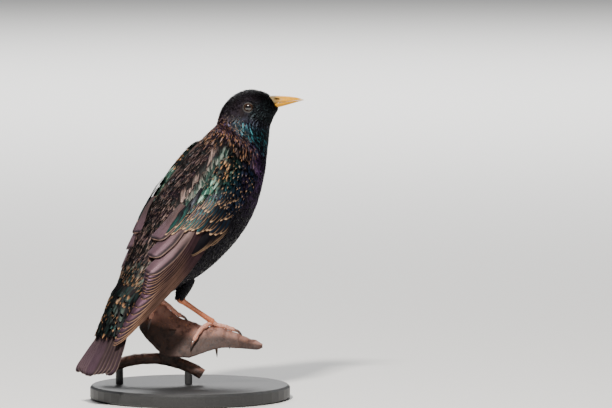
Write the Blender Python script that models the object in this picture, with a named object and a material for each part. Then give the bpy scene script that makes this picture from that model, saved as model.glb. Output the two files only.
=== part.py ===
"""A life-size starling on a short piece of wrought iron, held by a plain display stand.

Sizes are millimetres until a mesh is made, and then metres. +X is the way the body faces, +Y is the
bird's left and +Z is up. The origin is the centre of the base's underside. The head is turned to the
bird's right, and the perch runs across the bird's heading at TURN degrees.
"""

import math
import random

import bmesh
import bpy
from mathutils import Matrix, Vector

MM = 0.001
GAP = 0.3

BASE_RADIUS = 58.0
BASE_THICKNESS = 8.0
TAIL_CLEARANCE = 5.5
GROUND = BASE_THICKNESS + TAIL_CLEARANCE
BIRD_AT = Vector((-2.3, 1.9, GROUND))

TURN = 40.0
HEAD_TURN = 47.0
NECK_X = 42.9
WING_PITCH = 45.0
CARPAL_AT = 103.4
WING_LENGTH = 133.0
# The wing's feathers in tiers, the lowest first. Each tier runs from its outermost feather to its
# innermost: how many, where the roots start and end, where the tips start and end, half the width,
# how far the outer edge stands off the wing, how steeply a feather dips to its inner edge, how the
# tips crowd outward, and how full a section is.
WING_TIERS = (
    ("primary", 8, (40.0, 1.6), (50.0, 8.0), (131.5, 3.2), (101.0, 8.6), (3.0, 3.8), 1.4, 0.45, 1.5, 5),
    ("secondary", 4, (48.0, 8.0), (50.0, 15.0), (96.0, 10.0), (90.0, 14.0), (4.4, 4.8), 1.3, 0.3, 1.0, 5),
    ("tertial", 3, (46.0, 13.0), (42.0, 27.0), (87.5, 15.4), (68.5, 27.0), (4.6, 5.6), 1.6, 0.26, 1.0, 6),
    ("hand_covert", 2, (20.0, -0.4), (34.0, 2.6), (48.0, -1.0), (64.0, 3.2), (2.4, 3.0), 1.5, 0.4, 1.0, 4),
    ("great_covert", 6, (26.0, 1.0), (42.0, 24.0), (43.0, 0.6), (62.0, 23.0), (3.1, 4.2), 1.8, 0.3, 1.0, 4),
    ("middle_covert", 5, (16.0, 2.8), (33.0, 22.5), (29.0, 3.0), (50.0, 20.0), (3.2, 4.2), 2.0, 0.3, 1.0, 4),
    ("small_covert", 3, (5.0, 5.0), (17.0, 20.0), (19.0, 5.0), (35.0, 18.0), (4.4, 5.0), 2.1, 0.3, 1.0, 4),
    ("scapular", 3, (10.0, 23.0), (34.0, 31.0), (27.0, 21.0), (58.0, 29.0), (5.0, 5.4), 2.3, 0.3, 1.0, 4),
)
LEFT_WING_LIFT = 2.6
LEFT_WING_RISE = 2.2
LEFT_WING_FORWARD = 5.0
WING_BOW = 1.6
WING_SEEDS = (2, 16)

FEATHER_THICKNESS = 0.55
FEATHER_STEP = 0.34

# The body's outline from the side. Each row is a section: the point on the back and the point on the
# belly as (forward, up), the half width, how far the head's turn has reached, and how square it is.
SECTIONS = (
    ("tail_root", (-49.5, 48.5), (-45.5, 37.5), 8.5, 0.0, 2.0),
    ("rump", (-43.0, 59.5), (-30.5, 44.0), 13.0, 0.0, 2.0),
    ("vent", (-34.5, 74.0), (-13.5, 49.5), 17.5, 0.0, 2.1),
    ("loin", (-23.0, 91.5), (7.5, 59.0), 21.5, 0.0, 2.2),
    ("back", (-8.5, 109.0), (26.5, 72.0), 23.0, 0.0, 2.2),
    ("breast", (5.5, 123.5), (40.0, 86.0), 23.0, 0.0, 2.2),
    ("shoulder", (17.5, 135.0), (48.5, 101.0), 21.5, 0.05, 2.2),
    ("mantle", (25.5, 141.5), (55.0, 117.5), 18.5, 0.25, 2.1),
    ("neck_base", (28.2, 143.9), (57.9, 131.3), 15.4, 0.65, 2.0),
    ("neck", (28.6, 145.6), (59.0, 142.2), 13.5, 1.0, 2.0),
    ("nape", (31.2, 153.4), (60.8, 147.2), 12.2, 1.0, 2.0),
    ("crown", (37.6, 160.6), (62.4, 150.4), 11.0, 1.0, 2.0),
    ("brow", (46.0, 164.3), (63.6, 152.3), 9.1, 1.0, 1.9),
    ("forehead", (53.4, 163.7), (64.4, 153.8), 6.6, 1.0, 1.8),
    ("lores", (58.0, 162.0), (64.8, 154.5), 4.7, 1.0, 1.8),
    ("bill_root", (60.4, 160.9), (65.0, 155.0), 3.6, 1.0, 1.8),
)
TORSO_RINGS = 2
HEAD_RINGS = 2.5
RING_POINTS = 26
TORSO_END = 7.35
NECK_END = 9.35

# The folded wing's outer surface, from the bend of the wing to its tip. Each row is the distance
# behind the bend, the height of its centre line over the body's axis, its height above that line,
# its half width, and the lower and the upper edge as distances round the surface from its widest place.
WING_ROWS = (
    (-3.0, 58.6, 24.4, 23.4, 0.0, 14.0),
    (6.0, 58.4, 26.0, 25.0, -2.0, 25.0),
    (20.0, 58.2, 27.4, 26.4, -2.6, 31.0),
    (38.0, 57.8, 27.4, 26.6, -1.2, 32.0),
    (56.0, 57.8, 25.4, 25.4, -1.4, 30.0),
    (75.0, 57.8, 21.6, 22.8, -1.8, 22.0),
    (92.0, 57.8, 16.2, 19.5, -0.6, 11.0),
    (108.0, 57.8, 11.0, 17.0, 1.0, 5.0),
    (134.0, 57.8, 5.2, 13.4, 2.0, 3.5),
)
WING_SQUARE = 2.5

TAIL_ROOT = Vector((-35.1, 0.0, 58.0))
TAIL_LENGTH = 63.0
TAIL_PITCH = 56.5
TAIL_FEATHERS = 12
TAIL_SPREAD = 29.0
TAIL_FEATHER_WIDTH = 9.0

# Rows of short feathers over and under the tail's root, the longest first: how many, then where they
# start down the tail, their length, how far off the tail's middle they lie (below it if negative),
# how far apart they spread, how they fan, and half the width.
TAIL_COVERTS = (
    (5, (22.0, 24.0, 3.4, 8.0, 9.0, 3.6)),
    (4, (20.0, 16.0, 5.4, 7.0, 8.0, 3.6)),
    (3, (21.0, 21.0, -3.6, 6.0, 6.0, 3.8)),
)

EYE_AT = Vector((48.0, 8.3, 154.4))
EYE_RADIUS = 3.3
LID_RADIUS = 3.15
LID_THICKNESS = 0.62
EAR_AT = Vector((41.5, 8.8, 150.6))

# The bill along its length: forward, top, mouth line and bottom, and half the width at the mouth.
BILL_ROWS = (
    (55.6, 159.0, 152.9, 151.6, 6.1),
    (58.0, 160.7, 154.8, 152.9, 5.5),
    (61.0, 161.0, 156.0, 153.8, 4.7),
    (65.2, 160.9, 157.0, 154.4, 3.7),
    (70.6, 160.6, 157.7, 155.9, 2.7),
    (75.0, 160.0, 158.2, 157.2, 1.75),
    (77.8, 159.3, 158.5, 158.0, 1.0),
    (79.1, 158.9, 158.6, 158.3, 0.55),
)

THIGH_RIGHT = (Vector((-4.0, -8.6, 59.0)), Vector((-10.4, -8.3, 46.4)))
ANKLE_RIGHT = Vector((-10.8, -8.2, 45.6))
FOOT_RIGHT = Vector((12.1, -10.0, 31.2))
THIGH_LEFT = (Vector((-14.5, 9.5, 62.0)), Vector((-17.0, 9.5, 47.2)))
ANKLE_LEFT = Vector((-25.0, 10.0, 50.5))
FOOT_LEFT = Vector((-10.5, 9.1, 43.2))
TARSUS_RADIUS = 1.6
TOE_RADIUS = 1.35

# Where each toe lies on the perch, as places along it and across it: hind, inner, middle, outer.
TOES_RIGHT = (
    ((13.6, -1.2), (10.2, -3.4), (7.4, -5.8), (5.2, -7.8)),
    ((15.8, 2.2), (16.6, 5.0), (17.4, 7.8), (18.0, 9.2)),
    ((17.8, 1.8), (20.4, 4.0), (22.6, 6.0), (24.2, 7.8)),
    ((18.6, 0.3), (22.2, 0.2), (25.8, 0.1), (29.2, -0.2)),
)
TOES_LEFT = (
    ((-15.4, -1.0), (-17.2, -2.4), (-18.8, -3.8), (-20.0, -5.0)),
    ((-10.6, 0.2), (-7.6, 0.2), (-4.6, 0.1), (-1.8, 0.0)),
    ((-11.8, 1.8), (-9.6, 3.5), (-7.6, 5.1), (-6.2, 6.3)),
    ((-13.6, 1.9), (-13.6, 3.5), (-13.6, 5.1), (-13.8, 6.3)),
)

# The iron leaf along the perch: place, ridge height, lower edge height and half its depth.
LEAF_ROWS = (
    (-26.5, 31.0, 27.5, 2.0),
    (-24.5, 36.0, 24.5, 4.8),
    (-19.5, 40.2, 19.0, 7.4),
    (-12.0, 40.4, 12.5, 9.0),
    (-4.0, 34.0, 11.2, 9.4),
    (4.0, 31.2, 11.4, 9.4),
    (12.0, 28.5, 14.2, 9.0),
    (20.0, 27.6, 16.3, 8.4),
    (28.0, 25.2, 16.4, 7.4),
    (36.0, 22.0, 15.6, 5.8),
    (42.0, 20.0, 15.2, 4.2),
    (45.0, 18.2, 16.0, 2.2),
)
LEAF_WALL = 4.5
BAR_RADIUS = 3.2
BAR_ARC = 54.0
BAR_TOP = (-20.3, 9.6)
BAR_ENDS = (-47.0, 10.0)
ROD_RADIUS = 2.2
ROD_PLACES = (-38.0, 2.0)


def clear_scene():
    for item in list(bpy.data.objects):
        bpy.data.objects.remove(item)


def material(name, colour, roughness, metallic=0.0):
    found = bpy.data.materials.get(name)
    if found:
        return found
    made = bpy.data.materials.new(name)
    made.use_nodes = True
    shader = made.node_tree.nodes["Principled BSDF"]
    shader.inputs["Base Color"].default_value = (*colour, 1.0)
    shader.inputs["Roughness"].default_value = roughness
    shader.inputs["Metallic"].default_value = metallic
    return made


def plumage():
    return material("dark_plumage", (0.03, 0.03, 0.04), 0.35)


def flight_plumage():
    return material("brown_plumage", (0.10, 0.08, 0.08), 0.45)


def horn():
    return material("yellow_horn", (0.75, 0.45, 0.06), 0.35)


def eye_gloss():
    return material("eye_gloss", (0.02, 0.012, 0.008), 0.08)


def leg_skin():
    return material("leg_skin", (0.60, 0.26, 0.16), 0.5)


def claw_horn():
    return material("claw_horn", (0.12, 0.08, 0.07), 0.4)


def rusty_iron():
    return material("rusty_iron", (0.30, 0.16, 0.12), 0.75, 0.2)


def stand_finish():
    return material("stand_black", (0.05, 0.05, 0.05), 0.45)


def mesh_object(name, points, faces):
    """A mesh object in metres from points in millimetres, placed with the bird over the base."""
    mesh = bpy.data.meshes.new(name)
    mesh.from_pydata([(Vector(p) + BIRD_AT) * MM for p in points], [], faces)
    made = bpy.data.objects.new(name, mesh)
    bpy.context.scene.collection.objects.link(made)
    work = bmesh.new()
    work.from_mesh(mesh)
    bmesh.ops.recalc_face_normals(work, faces=work.faces)
    work.to_mesh(mesh)
    work.free()
    return made


def loft(name, rings):
    """A closed solid through equal rings of points, with a fan of triangles at each end."""
    count = len(rings[0])
    points = [p for ring in rings for p in ring]
    faces = []
    for i in range(len(rings) - 1):
        for j in range(count):
            k = (j + 1) % count
            a, b = i * count + j, i * count + k
            c, d = (i + 1) * count + k, (i + 1) * count + j
            faces.append((a, b, c))
            faces.append((a, c, d))
    for ring in (0, len(rings) - 1):
        points.append(sum((Vector(p) for p in rings[ring]), Vector()) / count)
        hub = len(points) - 1
        for j in range(count):
            faces.append((hub, ring * count + j, ring * count + (j + 1) % count))
    return mesh_object(name, points, faces)


def apply_modifiers(item):
    graph = bpy.context.evaluated_depsgraph_get()
    mesh = bpy.data.meshes.new_from_object(item.evaluated_get(graph))
    item.modifiers.clear()
    old = item.data
    item.data = mesh
    bpy.data.meshes.remove(old)


def keep_largest(item):
    """Keeps the closed surface that encloses the most, and so fills hollows and drops scraps."""
    work = bmesh.new()
    work.from_mesh(item.data)
    bmesh.ops.triangulate(work, faces=work.faces)
    left = set(work.faces)
    best, most = set(), -1.0
    while left:
        shell = {left.pop()}
        border = list(shell)
        while border:
            face = border.pop()
            for edge in face.edges:
                if len(edge.link_faces) != 2:
                    continue
                for other in edge.link_faces:
                    if other in left:
                        left.remove(other)
                        shell.add(other)
                        border.append(other)
        volume = 0.0
        for face in shell:
            a, b, c = (v.co for v in face.verts)
            volume += a.dot(b.cross(c)) / 6
        if volume > most:
            best, most = shell, volume
    bmesh.ops.delete(work, geom=[f for f in work.faces if f not in best], context="FACES")
    work.to_mesh(item.data)
    work.free()


def boolean(item, others, operation, solver="EXACT"):
    """One Boolean of item with a collection of closed meshes, applied. The others are removed."""
    group = bpy.data.collections.new("helpers")
    bpy.context.scene.collection.children.link(group)
    for other in others:
        for holder in list(other.users_collection):
            holder.objects.unlink(other)
        group.objects.link(other)
    step = item.modifiers.new(operation.lower(), "BOOLEAN")
    step.operation = operation
    step.operand_type = "COLLECTION"
    step.collection = group
    step.solver = solver
    apply_modifiers(item)
    for other in others:
        bpy.data.objects.remove(other)
    bpy.data.collections.remove(group)


def fuse(name, pieces, finish, cutters=(), solver="EXACT"):
    """Joins closed pieces to one solid, cuts it clear of its neighbours and names the node."""
    first, rest = pieces[0], pieces[1:]
    if rest:
        boolean(first, rest, "UNION", solver)
    if cutters:
        boolean(first, list(cutters), "DIFFERENCE", solver)
    keep_largest(first)
    first.name = name
    first.data.name = name
    first.data.materials.clear()
    first.data.materials.append(finish)
    first.data.shade_smooth()
    first.data.set_sharp_from_angle(angle=math.radians(40))
    return first


def swollen(item, distance=GAP):
    """A copy whose surface stands off by distance, used to cut a neighbour clear of the item."""
    copy = item.copy()
    copy.data = item.data.copy()
    bpy.context.scene.collection.objects.link(copy)
    work = bmesh.new()
    work.from_mesh(copy.data)
    bmesh.ops.recalc_face_normals(work, faces=work.faces)
    moves = [(v, v.normal * distance * MM * min(v.calc_shell_factor(), 2.0)) for v in work.verts]
    for vertex, move in moves:
        vertex.co += move
    work.to_mesh(copy.data)
    work.free()
    return copy


def catmull(values, at):
    """A smooth curve through values, read at a fractional index."""
    last = len(values) - 1
    i = min(int(at), last - 1)
    t = at - i
    p1, p2 = values[i], values[i + 1]
    p0 = values[i - 1] if i > 0 else 2 * p1 - p2
    p3 = values[i + 2] if i + 2 <= last else 2 * p2 - p1
    return 0.5 * (
        2 * p1 + (p2 - p0) * t + (2 * p0 - 5 * p1 + 4 * p2 - p3) * t * t
        + (3 * p1 - p0 - 3 * p2 + p3) * t ** 3
    )


def along(rows, value):
    """The fractional row at which the first column reaches value."""
    firsts = [row[0] for row in rows]
    for i in range(len(firsts) - 1):
        if value <= firsts[i + 1]:
            return i + (value - firsts[i]) / (firsts[i + 1] - firsts[i])
    return len(firsts) - 1.0


def row_at(rows, value):
    """The row read smoothly at a value of its first column."""
    at = max(0.0, along(rows, value))
    return [value] + [catmull([row[k] for row in rows], at) for k in range(1, len(rows[0]))]


def turned(point, share=1.0):
    """A point turned to the bird's right about the neck by a share of the head's turn."""
    angle = math.radians(-HEAD_TURN * share)
    x, y = point[0] - NECK_X, point[1]
    return Vector((
        NECK_X + x * math.cos(angle) - y * math.sin(angle),
        x * math.sin(angle) + y * math.cos(angle),
        point[2],
    ))


def tube(name, path, radii, sides=8):
    """A round-ended rod through points with a radius at each, its rings square to the path."""
    path = [Vector(p) for p in path]
    rings = []
    side = None
    for i, point in enumerate(path):
        ahead = (path[min(i + 1, len(path) - 1)] - path[max(i - 1, 0)]).normalized()
        if side is None:
            side = ahead.orthogonal().normalized()
        side = (side - ahead * side.dot(ahead)).normalized()
        other = ahead.cross(side)
        ring = []
        for j in range(sides):
            turn = 2 * math.pi * j / sides
            ring.append(point + (side * math.cos(turn) + other * math.sin(turn)) * radii[i])
        rings.append(ring)
    return loft(name, rings)


def body_point(at, angle, grow=0.0):
    """A point of the body's skin at a fractional section and an angle from the back's middle line."""
    back = Vector([catmull([s[1][k] for s in SECTIONS], at) for k in range(2)])
    belly = Vector([catmull([s[2][k] for s in SECTIONS], at) for k in range(2)])
    half = catmull([s[3] for s in SECTIONS], at) + grow
    share = catmull([s[4] for s in SECTIONS], at)
    power = 2.0 / catmull([s[5] for s in SECTIONS], at)
    centre, arm = (back + belly) / 2, (back - belly) / 2
    arm = arm * (1 + grow / arm.length)
    c, s = math.cos(angle), math.sin(angle)
    c = math.copysign(abs(c) ** power, c)
    s = math.copysign(abs(s) ** power, s)
    flat = centre + arm * c
    return turned((flat.x, half * s, flat.y), share)


def body_ring(at, push=0.0):
    """One closed ring of the skin, moved along its own axis by push."""
    ring = [body_point(at, 2 * math.pi * j / RING_POINTS) for j in range(RING_POINTS)]
    if push:
        centre = sum(ring, Vector()) / RING_POINTS
        normal = (ring[0] - centre).cross(ring[RING_POINTS // 4] - centre).normalized()
        ahead = body_point(min(at + 0.1, len(SECTIONS) - 1), 0) - ring[0]
        normal *= math.copysign(1.0, normal.dot(ahead) * push)
        ring = [p + normal * abs(push) for p in ring]
    return ring


def body_length(name, start, end, between, push=0.0):
    steps = max(2, round((end - start) * between))
    places = [start + (end - start) * i / steps for i in range(steps + 1)]
    rings = [body_ring(at) for at in places]
    if push:
        rings[0] = body_ring(start, push)
    return loft(name, rings)


def build_torso():
    return fuse("torso", [body_length("torso", 0.0, TORSO_END, TORSO_RINGS)], plumage())


def build_neck():
    return fuse("neck", [body_length("neck", TORSO_END, NECK_END, HEAD_RINGS, GAP)], plumage())


def bill_half(name, upper):
    """One half of the bill. Its flat face is the line of the mouth."""
    rings = []
    for forward, top, mouth, bottom, half in BILL_ROWS:
        edge = mouth + GAP / 2 if upper else mouth - GAP / 2
        reach = (top - edge) if upper else (bottom - edge)
        ring = [turned((forward, half, edge))]
        for turn in (28, 55, 90, 125, 152):
            c, s = math.cos(math.radians(turn)), math.sin(math.radians(turn))
            ring.append(turned((forward, half * math.copysign(abs(c) ** 0.85, c), edge + reach * s)))
        ring.append(turned((forward, -half, edge)))
        ring.append(turned((forward, 0.0, edge)))
        rings.append(ring)
    return loft(name, rings)


def build_bill():
    upper = bill_half("bill_upper", True)
    nostrils = []
    for side in (1, -1):
        path = [(62.2, side * 5.0, 160.2), (63.4, side * 3.1, 159.7), (64.6, side * 2.0, 159.3)]
        nostrils.append(tube("nostril", [turned(p) for p in path], (0.75, 0.7, 0.5), 7))
    lower = bill_half("bill_lower", False)
    return fuse("bill_upper", [upper], horn(), nostrils), fuse("bill_lower", [lower], horn())


def ball(name, centre, radius, rings=7, sides=12):
    made = []
    for i in range(1, rings):
        tilt = math.pi * i / rings
        ring = []
        for j in range(sides):
            turn = 2 * math.pi * j / sides
            ring.append(centre + radius * Vector((
                math.sin(tilt) * math.cos(turn), -math.cos(tilt), math.sin(tilt) * math.sin(turn),
            )))
        made.append(ring)
    return loft(name, made)


def build_eyes():
    eyes = []
    for side, name in ((1, "eye_left"), (-1, "eye_right")):
        centre = turned((EYE_AT.x, side * EYE_AT.y, EYE_AT.z))
        eyes.append(fuse(name, [ball(name, centre, EYE_RADIUS)], eye_gloss()))
    return eyes


def lid(side):
    """The rim of skin round an eye, a little wider than high."""
    path = []
    for j in range(12):
        turn = 2 * math.pi * j / 12
        along_head, high = LID_RADIUS * 1.08 * math.cos(turn), LID_RADIUS * 0.94 * math.sin(turn)
        out = side * (EYE_AT.y + 1.75 - 0.045 * along_head)
        path.append((EYE_AT.x + along_head, out, EYE_AT.z + high))
    rings = []
    for j, point in enumerate(path):
        centre = Vector((EYE_AT.x, point[1], EYE_AT.z))
        away = (Vector(point) - centre).normalized()
        ring = []
        for k in range(6):
            turn = 2 * math.pi * k / 6
            bulge = away * math.cos(turn) + Vector((0, side, 0)) * math.sin(turn)
            ring.append(turned(Vector(point) + bulge * LID_THICKNESS))
        rings.append(ring)
    points = [p for ring in rings for p in ring]
    faces = []
    for i in range(12):
        for k in range(6):
            a, b = i * 6 + k, i * 6 + (k + 1) % 6
            c, d = (i + 1) % 12 * 6 + (k + 1) % 6, (i + 1) % 12 * 6 + k
            faces += [(a, b, c), (a, c, d)]
    return mesh_object("lid", points, faces)


def ear_pad(side):
    """The low pad of feathers over an ear, behind and below the eye."""
    rings = []
    for i in range(1, 5):
        tilt = math.pi * i / 5
        ring = []
        for j in range(10):
            turn = 2 * math.pi * j / 10
            ring.append(turned(EAR_AT * 1.0 + Vector((
                5.4 * math.cos(tilt), side * (2.7 * math.sin(tilt) * math.cos(turn)) + (side - 1) * EAR_AT.y,
                3.9 * math.sin(tilt) * math.sin(turn) - 0.25 * 5.4 * math.cos(tilt),
            ))))
        rings.append(ring)
    return loft("ear_pad", rings)


def build_head(bill, eyes):
    pieces = [body_length("head", NECK_END, len(SECTIONS) - 1.0, HEAD_RINGS, GAP)]
    pieces += [form(side) for form in (lid, ear_pad) for side in (1, -1)]
    return fuse("head", pieces, plumage(), [swollen(o) for o in (*bill, *eyes)])


def wing_frame(left):
    """The place of the wing's bend, and the directions down the wing, up off the back and outward."""
    pitch = math.radians(WING_PITCH)
    down = Vector((-math.cos(pitch), 0.0, -math.sin(pitch)))
    up = Vector((-math.sin(pitch), 0.0, math.cos(pitch)))
    out = Vector((0.0, 1.0 if left else -1.0, 0.0))
    return -down * CARPAL_AT, down, up, out


def wing_point(behind, across, height=0.0, left=False):
    """A point on the folded wing: behind the bend, round its surface from the side, and off it."""
    start, down, up, out = wing_frame(left)
    row = row_at(WING_ROWS, behind)
    high, wide = row[2], row[3]
    turn = across / ((high + wide) / 2)
    up_part, out_part = math.sin(turn), math.cos(turn)
    power = 2.0 / (WING_SQUARE + (2.0 - WING_SQUARE) * max(0.0, behind) / WING_LENGTH)
    up_part = math.copysign(abs(up_part) ** power, up_part)
    out_part = math.copysign(abs(out_part) ** power, out_part)
    point = start + down * behind + up * (row[1] + high * up_part) + out * (wide * out_part)
    square = (up * (math.sin(turn) / high) + out * (math.cos(turn) / wide)).normalized()
    point = point + square * height
    if left:
        hinge = start + up * row_at(WING_ROWS, 0.0)[1] + out * 20.0
        lift = Matrix.Rotation(math.radians(LEFT_WING_LIFT), 3, out)
        point = hinge + lift @ (point - hinge) + up * LEFT_WING_RISE - down * LEFT_WING_FORWARD
    return point


def wing_plate(left):
    """The body of a folded wing, a curved plate that the feathers stand on."""
    rings = []
    for row in WING_ROWS[:-1]:
        behind, low, high = row[0], row[4], row[5]
        thick = 4.4 - 2.6 * max(0.0, behind) / WING_LENGTH
        top = [low + (high - low) * i / 4 for i in range(5)]
        ring = [wing_point(behind, across, 0.0, left) for across in top]
        ring += [wing_point(behind, across, -thick, left) for across in reversed(top)]
        rings.append(ring)
    return loft("wing_plate", rings)


def feather_profile(count):
    """Where a feather's sections lie along it, with how wide and how thick each one is."""
    if count == 6:
        return ((0.0, 0.5, 0.8), (0.3, 0.8, 1.0), (0.68, 1.0, 1.0), (0.88, 0.95, 0.95),
                (0.965, 0.66, 0.85), (1.0, 0.24, 0.65))
    if count == 5:
        return ((0.0, 0.5, 0.8), (0.4, 0.9, 1.0), (0.82, 1.0, 0.95), (0.96, 0.66, 0.85), (1.0, 0.24, 0.65))
    return ((0.0, 0.6, 0.9), (0.45, 1.0, 1.0), (0.86, 0.84, 0.9), (1.0, 0.22, 0.65))


def wing_vane(root, tip, half, rise, slope, count, left):
    """One feather on the wing, its outer edge raised so that each lies over the one outside it."""
    rings = []
    sides = ((-1, 1), (0, 1.5), (1, 1), (1, -1), (0, -0.5), (-1, -1)) if count == 6 else (
        (-1, 1), (1, 1), (1, -1), (-1, -1))
    for at, width, thick in feather_profile(count):
        behind = root[0] + (tip[0] - root[0]) * at
        across = root[1] + (tip[1] - root[1]) * at - WING_BOW * math.sin(math.pi * at) * (count > 4)
        slab = FEATHER_THICKNESS * thick / 2
        sunk = -1.1 * (1 - min(1.0, at / 0.3))
        ring = []
        for side, face in sides:
            height = sunk + rise - slope * half * (1 + side * width) + slab * face
            ring.append(wing_point(behind, across + side * half * width, height, left))
        rings.append(ring)
    return loft("vane", rings)


def wing_tier(tier, left, chance):
    """A row of feathers, from the outermost to the innermost, each laid a little unevenly."""
    name, number, root_a, root_b, tip_a, tip_b, halves, rise, slope, crowd, count = tier
    vanes = []
    for i in range(number):
        share = i / (number - 1)
        late = share ** crowd
        root = (root_a[0] + (root_b[0] - root_a[0]) * share, root_a[1] + (root_b[1] - root_a[1]) * share)
        tip = (tip_a[0] + (tip_b[0] - tip_a[0]) * late, tip_a[1] + (tip_b[1] - tip_a[1]) * share)
        root = (root[0] + chance.uniform(-0.5, 0.5), root[1] + chance.uniform(-0.15, 0.15))
        tip = (tip[0] + chance.uniform(-0.4, 0.4), tip[1] + chance.uniform(-0.12, 0.12))
        half = halves[0] + (halves[1] - halves[0]) * share
        vanes.append(wing_vane(root, tip, half, rise + chance.uniform(-0.03, 0.03), slope, count, left))
    return vanes


def build_wing(name, left, inner):
    pieces = [wing_plate(left)]
    chance = random.Random(WING_SEEDS[left])
    for tier in WING_TIERS:
        pieces += wing_tier(tier, left, chance)
    return fuse(name, pieces, flight_plumage(), [swollen(o) for o in inner], "MANIFOLD")


def tail_axes(turn=0.0):
    """Directions down the tail, to the bird's left and up off it, fanned by turn degrees."""
    pitch = math.radians(TAIL_PITCH)
    down = Vector((-math.cos(pitch), 0.0, -math.sin(pitch)))
    up = Vector((-math.sin(pitch), 0.0, math.cos(pitch)))
    fan = Matrix.Rotation(math.radians(turn), 3, up)
    return fan @ down, fan @ Vector((0.0, 1.0, 0.0)), up


def tail_core():
    """The root of the tail, from the torso's end to where the feathers part."""
    rings = [body_ring(0.0, -GAP)]
    down, left, up = tail_axes()
    for at, off, high, wide in ((26.0, 1.4, 4.4, 9.4), (32.0, 0.5, 2.9, 10.2), (39.0, -0.4, 1.2, 10.8)):
        centre = TAIL_ROOT + down * at + up * off
        ring = []
        for j in range(RING_POINTS):
            turn = 2 * math.pi * j / RING_POINTS
            ring.append(centre + up * high * math.cos(turn) + left * wide * math.sin(turn))
        rings.append(ring)
    return loft("tail_core", rings)


def tail_vane(place):
    """One tail feather. Places count outward from the middle, to the left above zero."""
    side = 1 if place > 0 else -1
    rank = abs(place) - 1
    turn = side * (0.5 + rank) * TAIL_SPREAD / (TAIL_FEATHERS - 1)
    down, left, up = tail_axes(turn)
    under = rank + (0.5 if side < 0 else 0.0)
    drop = -FEATHER_STEP * under - 0.035 * under * under
    half = TAIL_FEATHER_WIDTH / 2
    length = TAIL_LENGTH + (0.8 if rank == 5 else 1.6 - 0.5 * rank)
    rings = []
    for at, width, thick in ((0.3, 0.6, 1.0), (0.84, 1.0, 0.95), (0.94, 0.84, 0.9), (0.985, 0.52, 0.8),
                             (1.0, 0.2, 0.6)):
        centre = TAIL_ROOT + down * length * at + up * drop
        slab = FEATHER_THICKNESS * thick / 2
        ring = []
        for across, off in ((-1, 1), (1, 1), (1, -1), (-1, -1)):
            ring.append(centre + left * half * width * across + up * slab * off)
        rings.append(ring)
    return loft("tail_vane", rings)


def tail_covert(tier, place, number):
    """One of the short feathers over or under the root of the tail."""
    start, length, rise, spread, fan, half = tier
    share = 0.0 if number == 1 else 2.0 * place / (number - 1) - 1.0
    down, left, up = tail_axes(fan * share)
    facing = 1.0 if rise > 0 else -1.0
    rings = []
    for at, width, thick, sink in ((0.0, 0.5, 0.9, -1.6), (0.45, 1.0, 1.0, -0.2), (0.85, 0.84, 0.9, 0.0),
                                   (1.0, 0.22, 0.65, 0.0)):
        centre = TAIL_ROOT + down * (start + length * at) + left * spread * share * (0.6 + 0.4 * at)
        over = abs(rise) * (1.0 - 0.55 * share * share) * (1.0 - 0.45 * at) + sink
        slab = FEATHER_THICKNESS * thick / 2
        ring = []
        for across, off in ((-1, 1), (1, 1), (1, -1), (-1, -1)):
            sag = 0.07 * half * abs(share + across * 0.5)
            ring.append(centre + left * half * width * across + up * facing * (over - sag + slab * off))
        rings.append(ring)
    return loft("covert", rings)


def build_tail(torso):
    half = TAIL_FEATHERS // 2
    places = [p for p in range(-half, half + 1) if p]
    vanes = [tail_vane(p) for p in places]
    for number, tier in TAIL_COVERTS:
        vanes += [tail_covert(tier, place, number) for place in range(number)]
    return fuse("tail", [tail_core(), *vanes], flight_plumage(), [swollen(torso)])


def perch_point(place, depth, height):
    """A point in the perch's own plane: along it, away behind it, and up."""
    turn = math.radians(TURN)
    x = place * math.cos(turn) + depth * math.sin(turn)
    y = -place * math.sin(turn) + depth * math.cos(turn)
    return Vector((x, y, height))


def leaf_ring(place, ridge, low, half):
    """One section of the iron leaf, a folded sheet whose ridge is up."""
    drop = ridge - low
    wall = min(LEAF_WALL, drop * 0.8)
    outside = [(-1.0, 1.0), (-0.8, 0.72), (-0.45, 0.3), (-0.12, 0.03)]
    ring = [perch_point(place, half * d, ridge - drop * f) for d, f in outside]
    ring += [perch_point(place, -half * d, ridge - drop * f) for d, f in reversed(outside)]
    inner = half * 0.62
    ring += [perch_point(place, inner, low + 0.1 * drop), perch_point(place, 0.0, ridge - wall)]
    ring.append(perch_point(place, -inner, low + 0.1 * drop))
    return ring


def build_bar():
    """The curved round bar under the leaf, cut to a short length."""
    radius, (middle, top) = BAR_ARC, BAR_TOP
    path = []
    for i in range(15):
        place = BAR_ENDS[0] + (BAR_ENDS[1] - BAR_ENDS[0]) * i / 14
        off = place - middle
        path.append(perch_point(place, 0.0, top - radius + math.sqrt(radius * radius - off * off)))
    return fuse("perch_bar", [tube("bar", path, [BAR_RADIUS] * len(path), 12)], rusty_iron())


def build_leaf(bar):
    leaf = loft("leaf", [leaf_ring(*row) for row in LEAF_ROWS])
    foot = [perch_point(-9.0, 0.0, 9.0), perch_point(-8.6, 0.0, 16.0), perch_point(-8.0, 0.0, 26.0)]
    stem = tube("stem", foot, (6.2, 6.4, 5.5), 12)
    return fuse("perch_leaf", [leaf, stem], rusty_iron(), [swollen(bar)])


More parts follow.
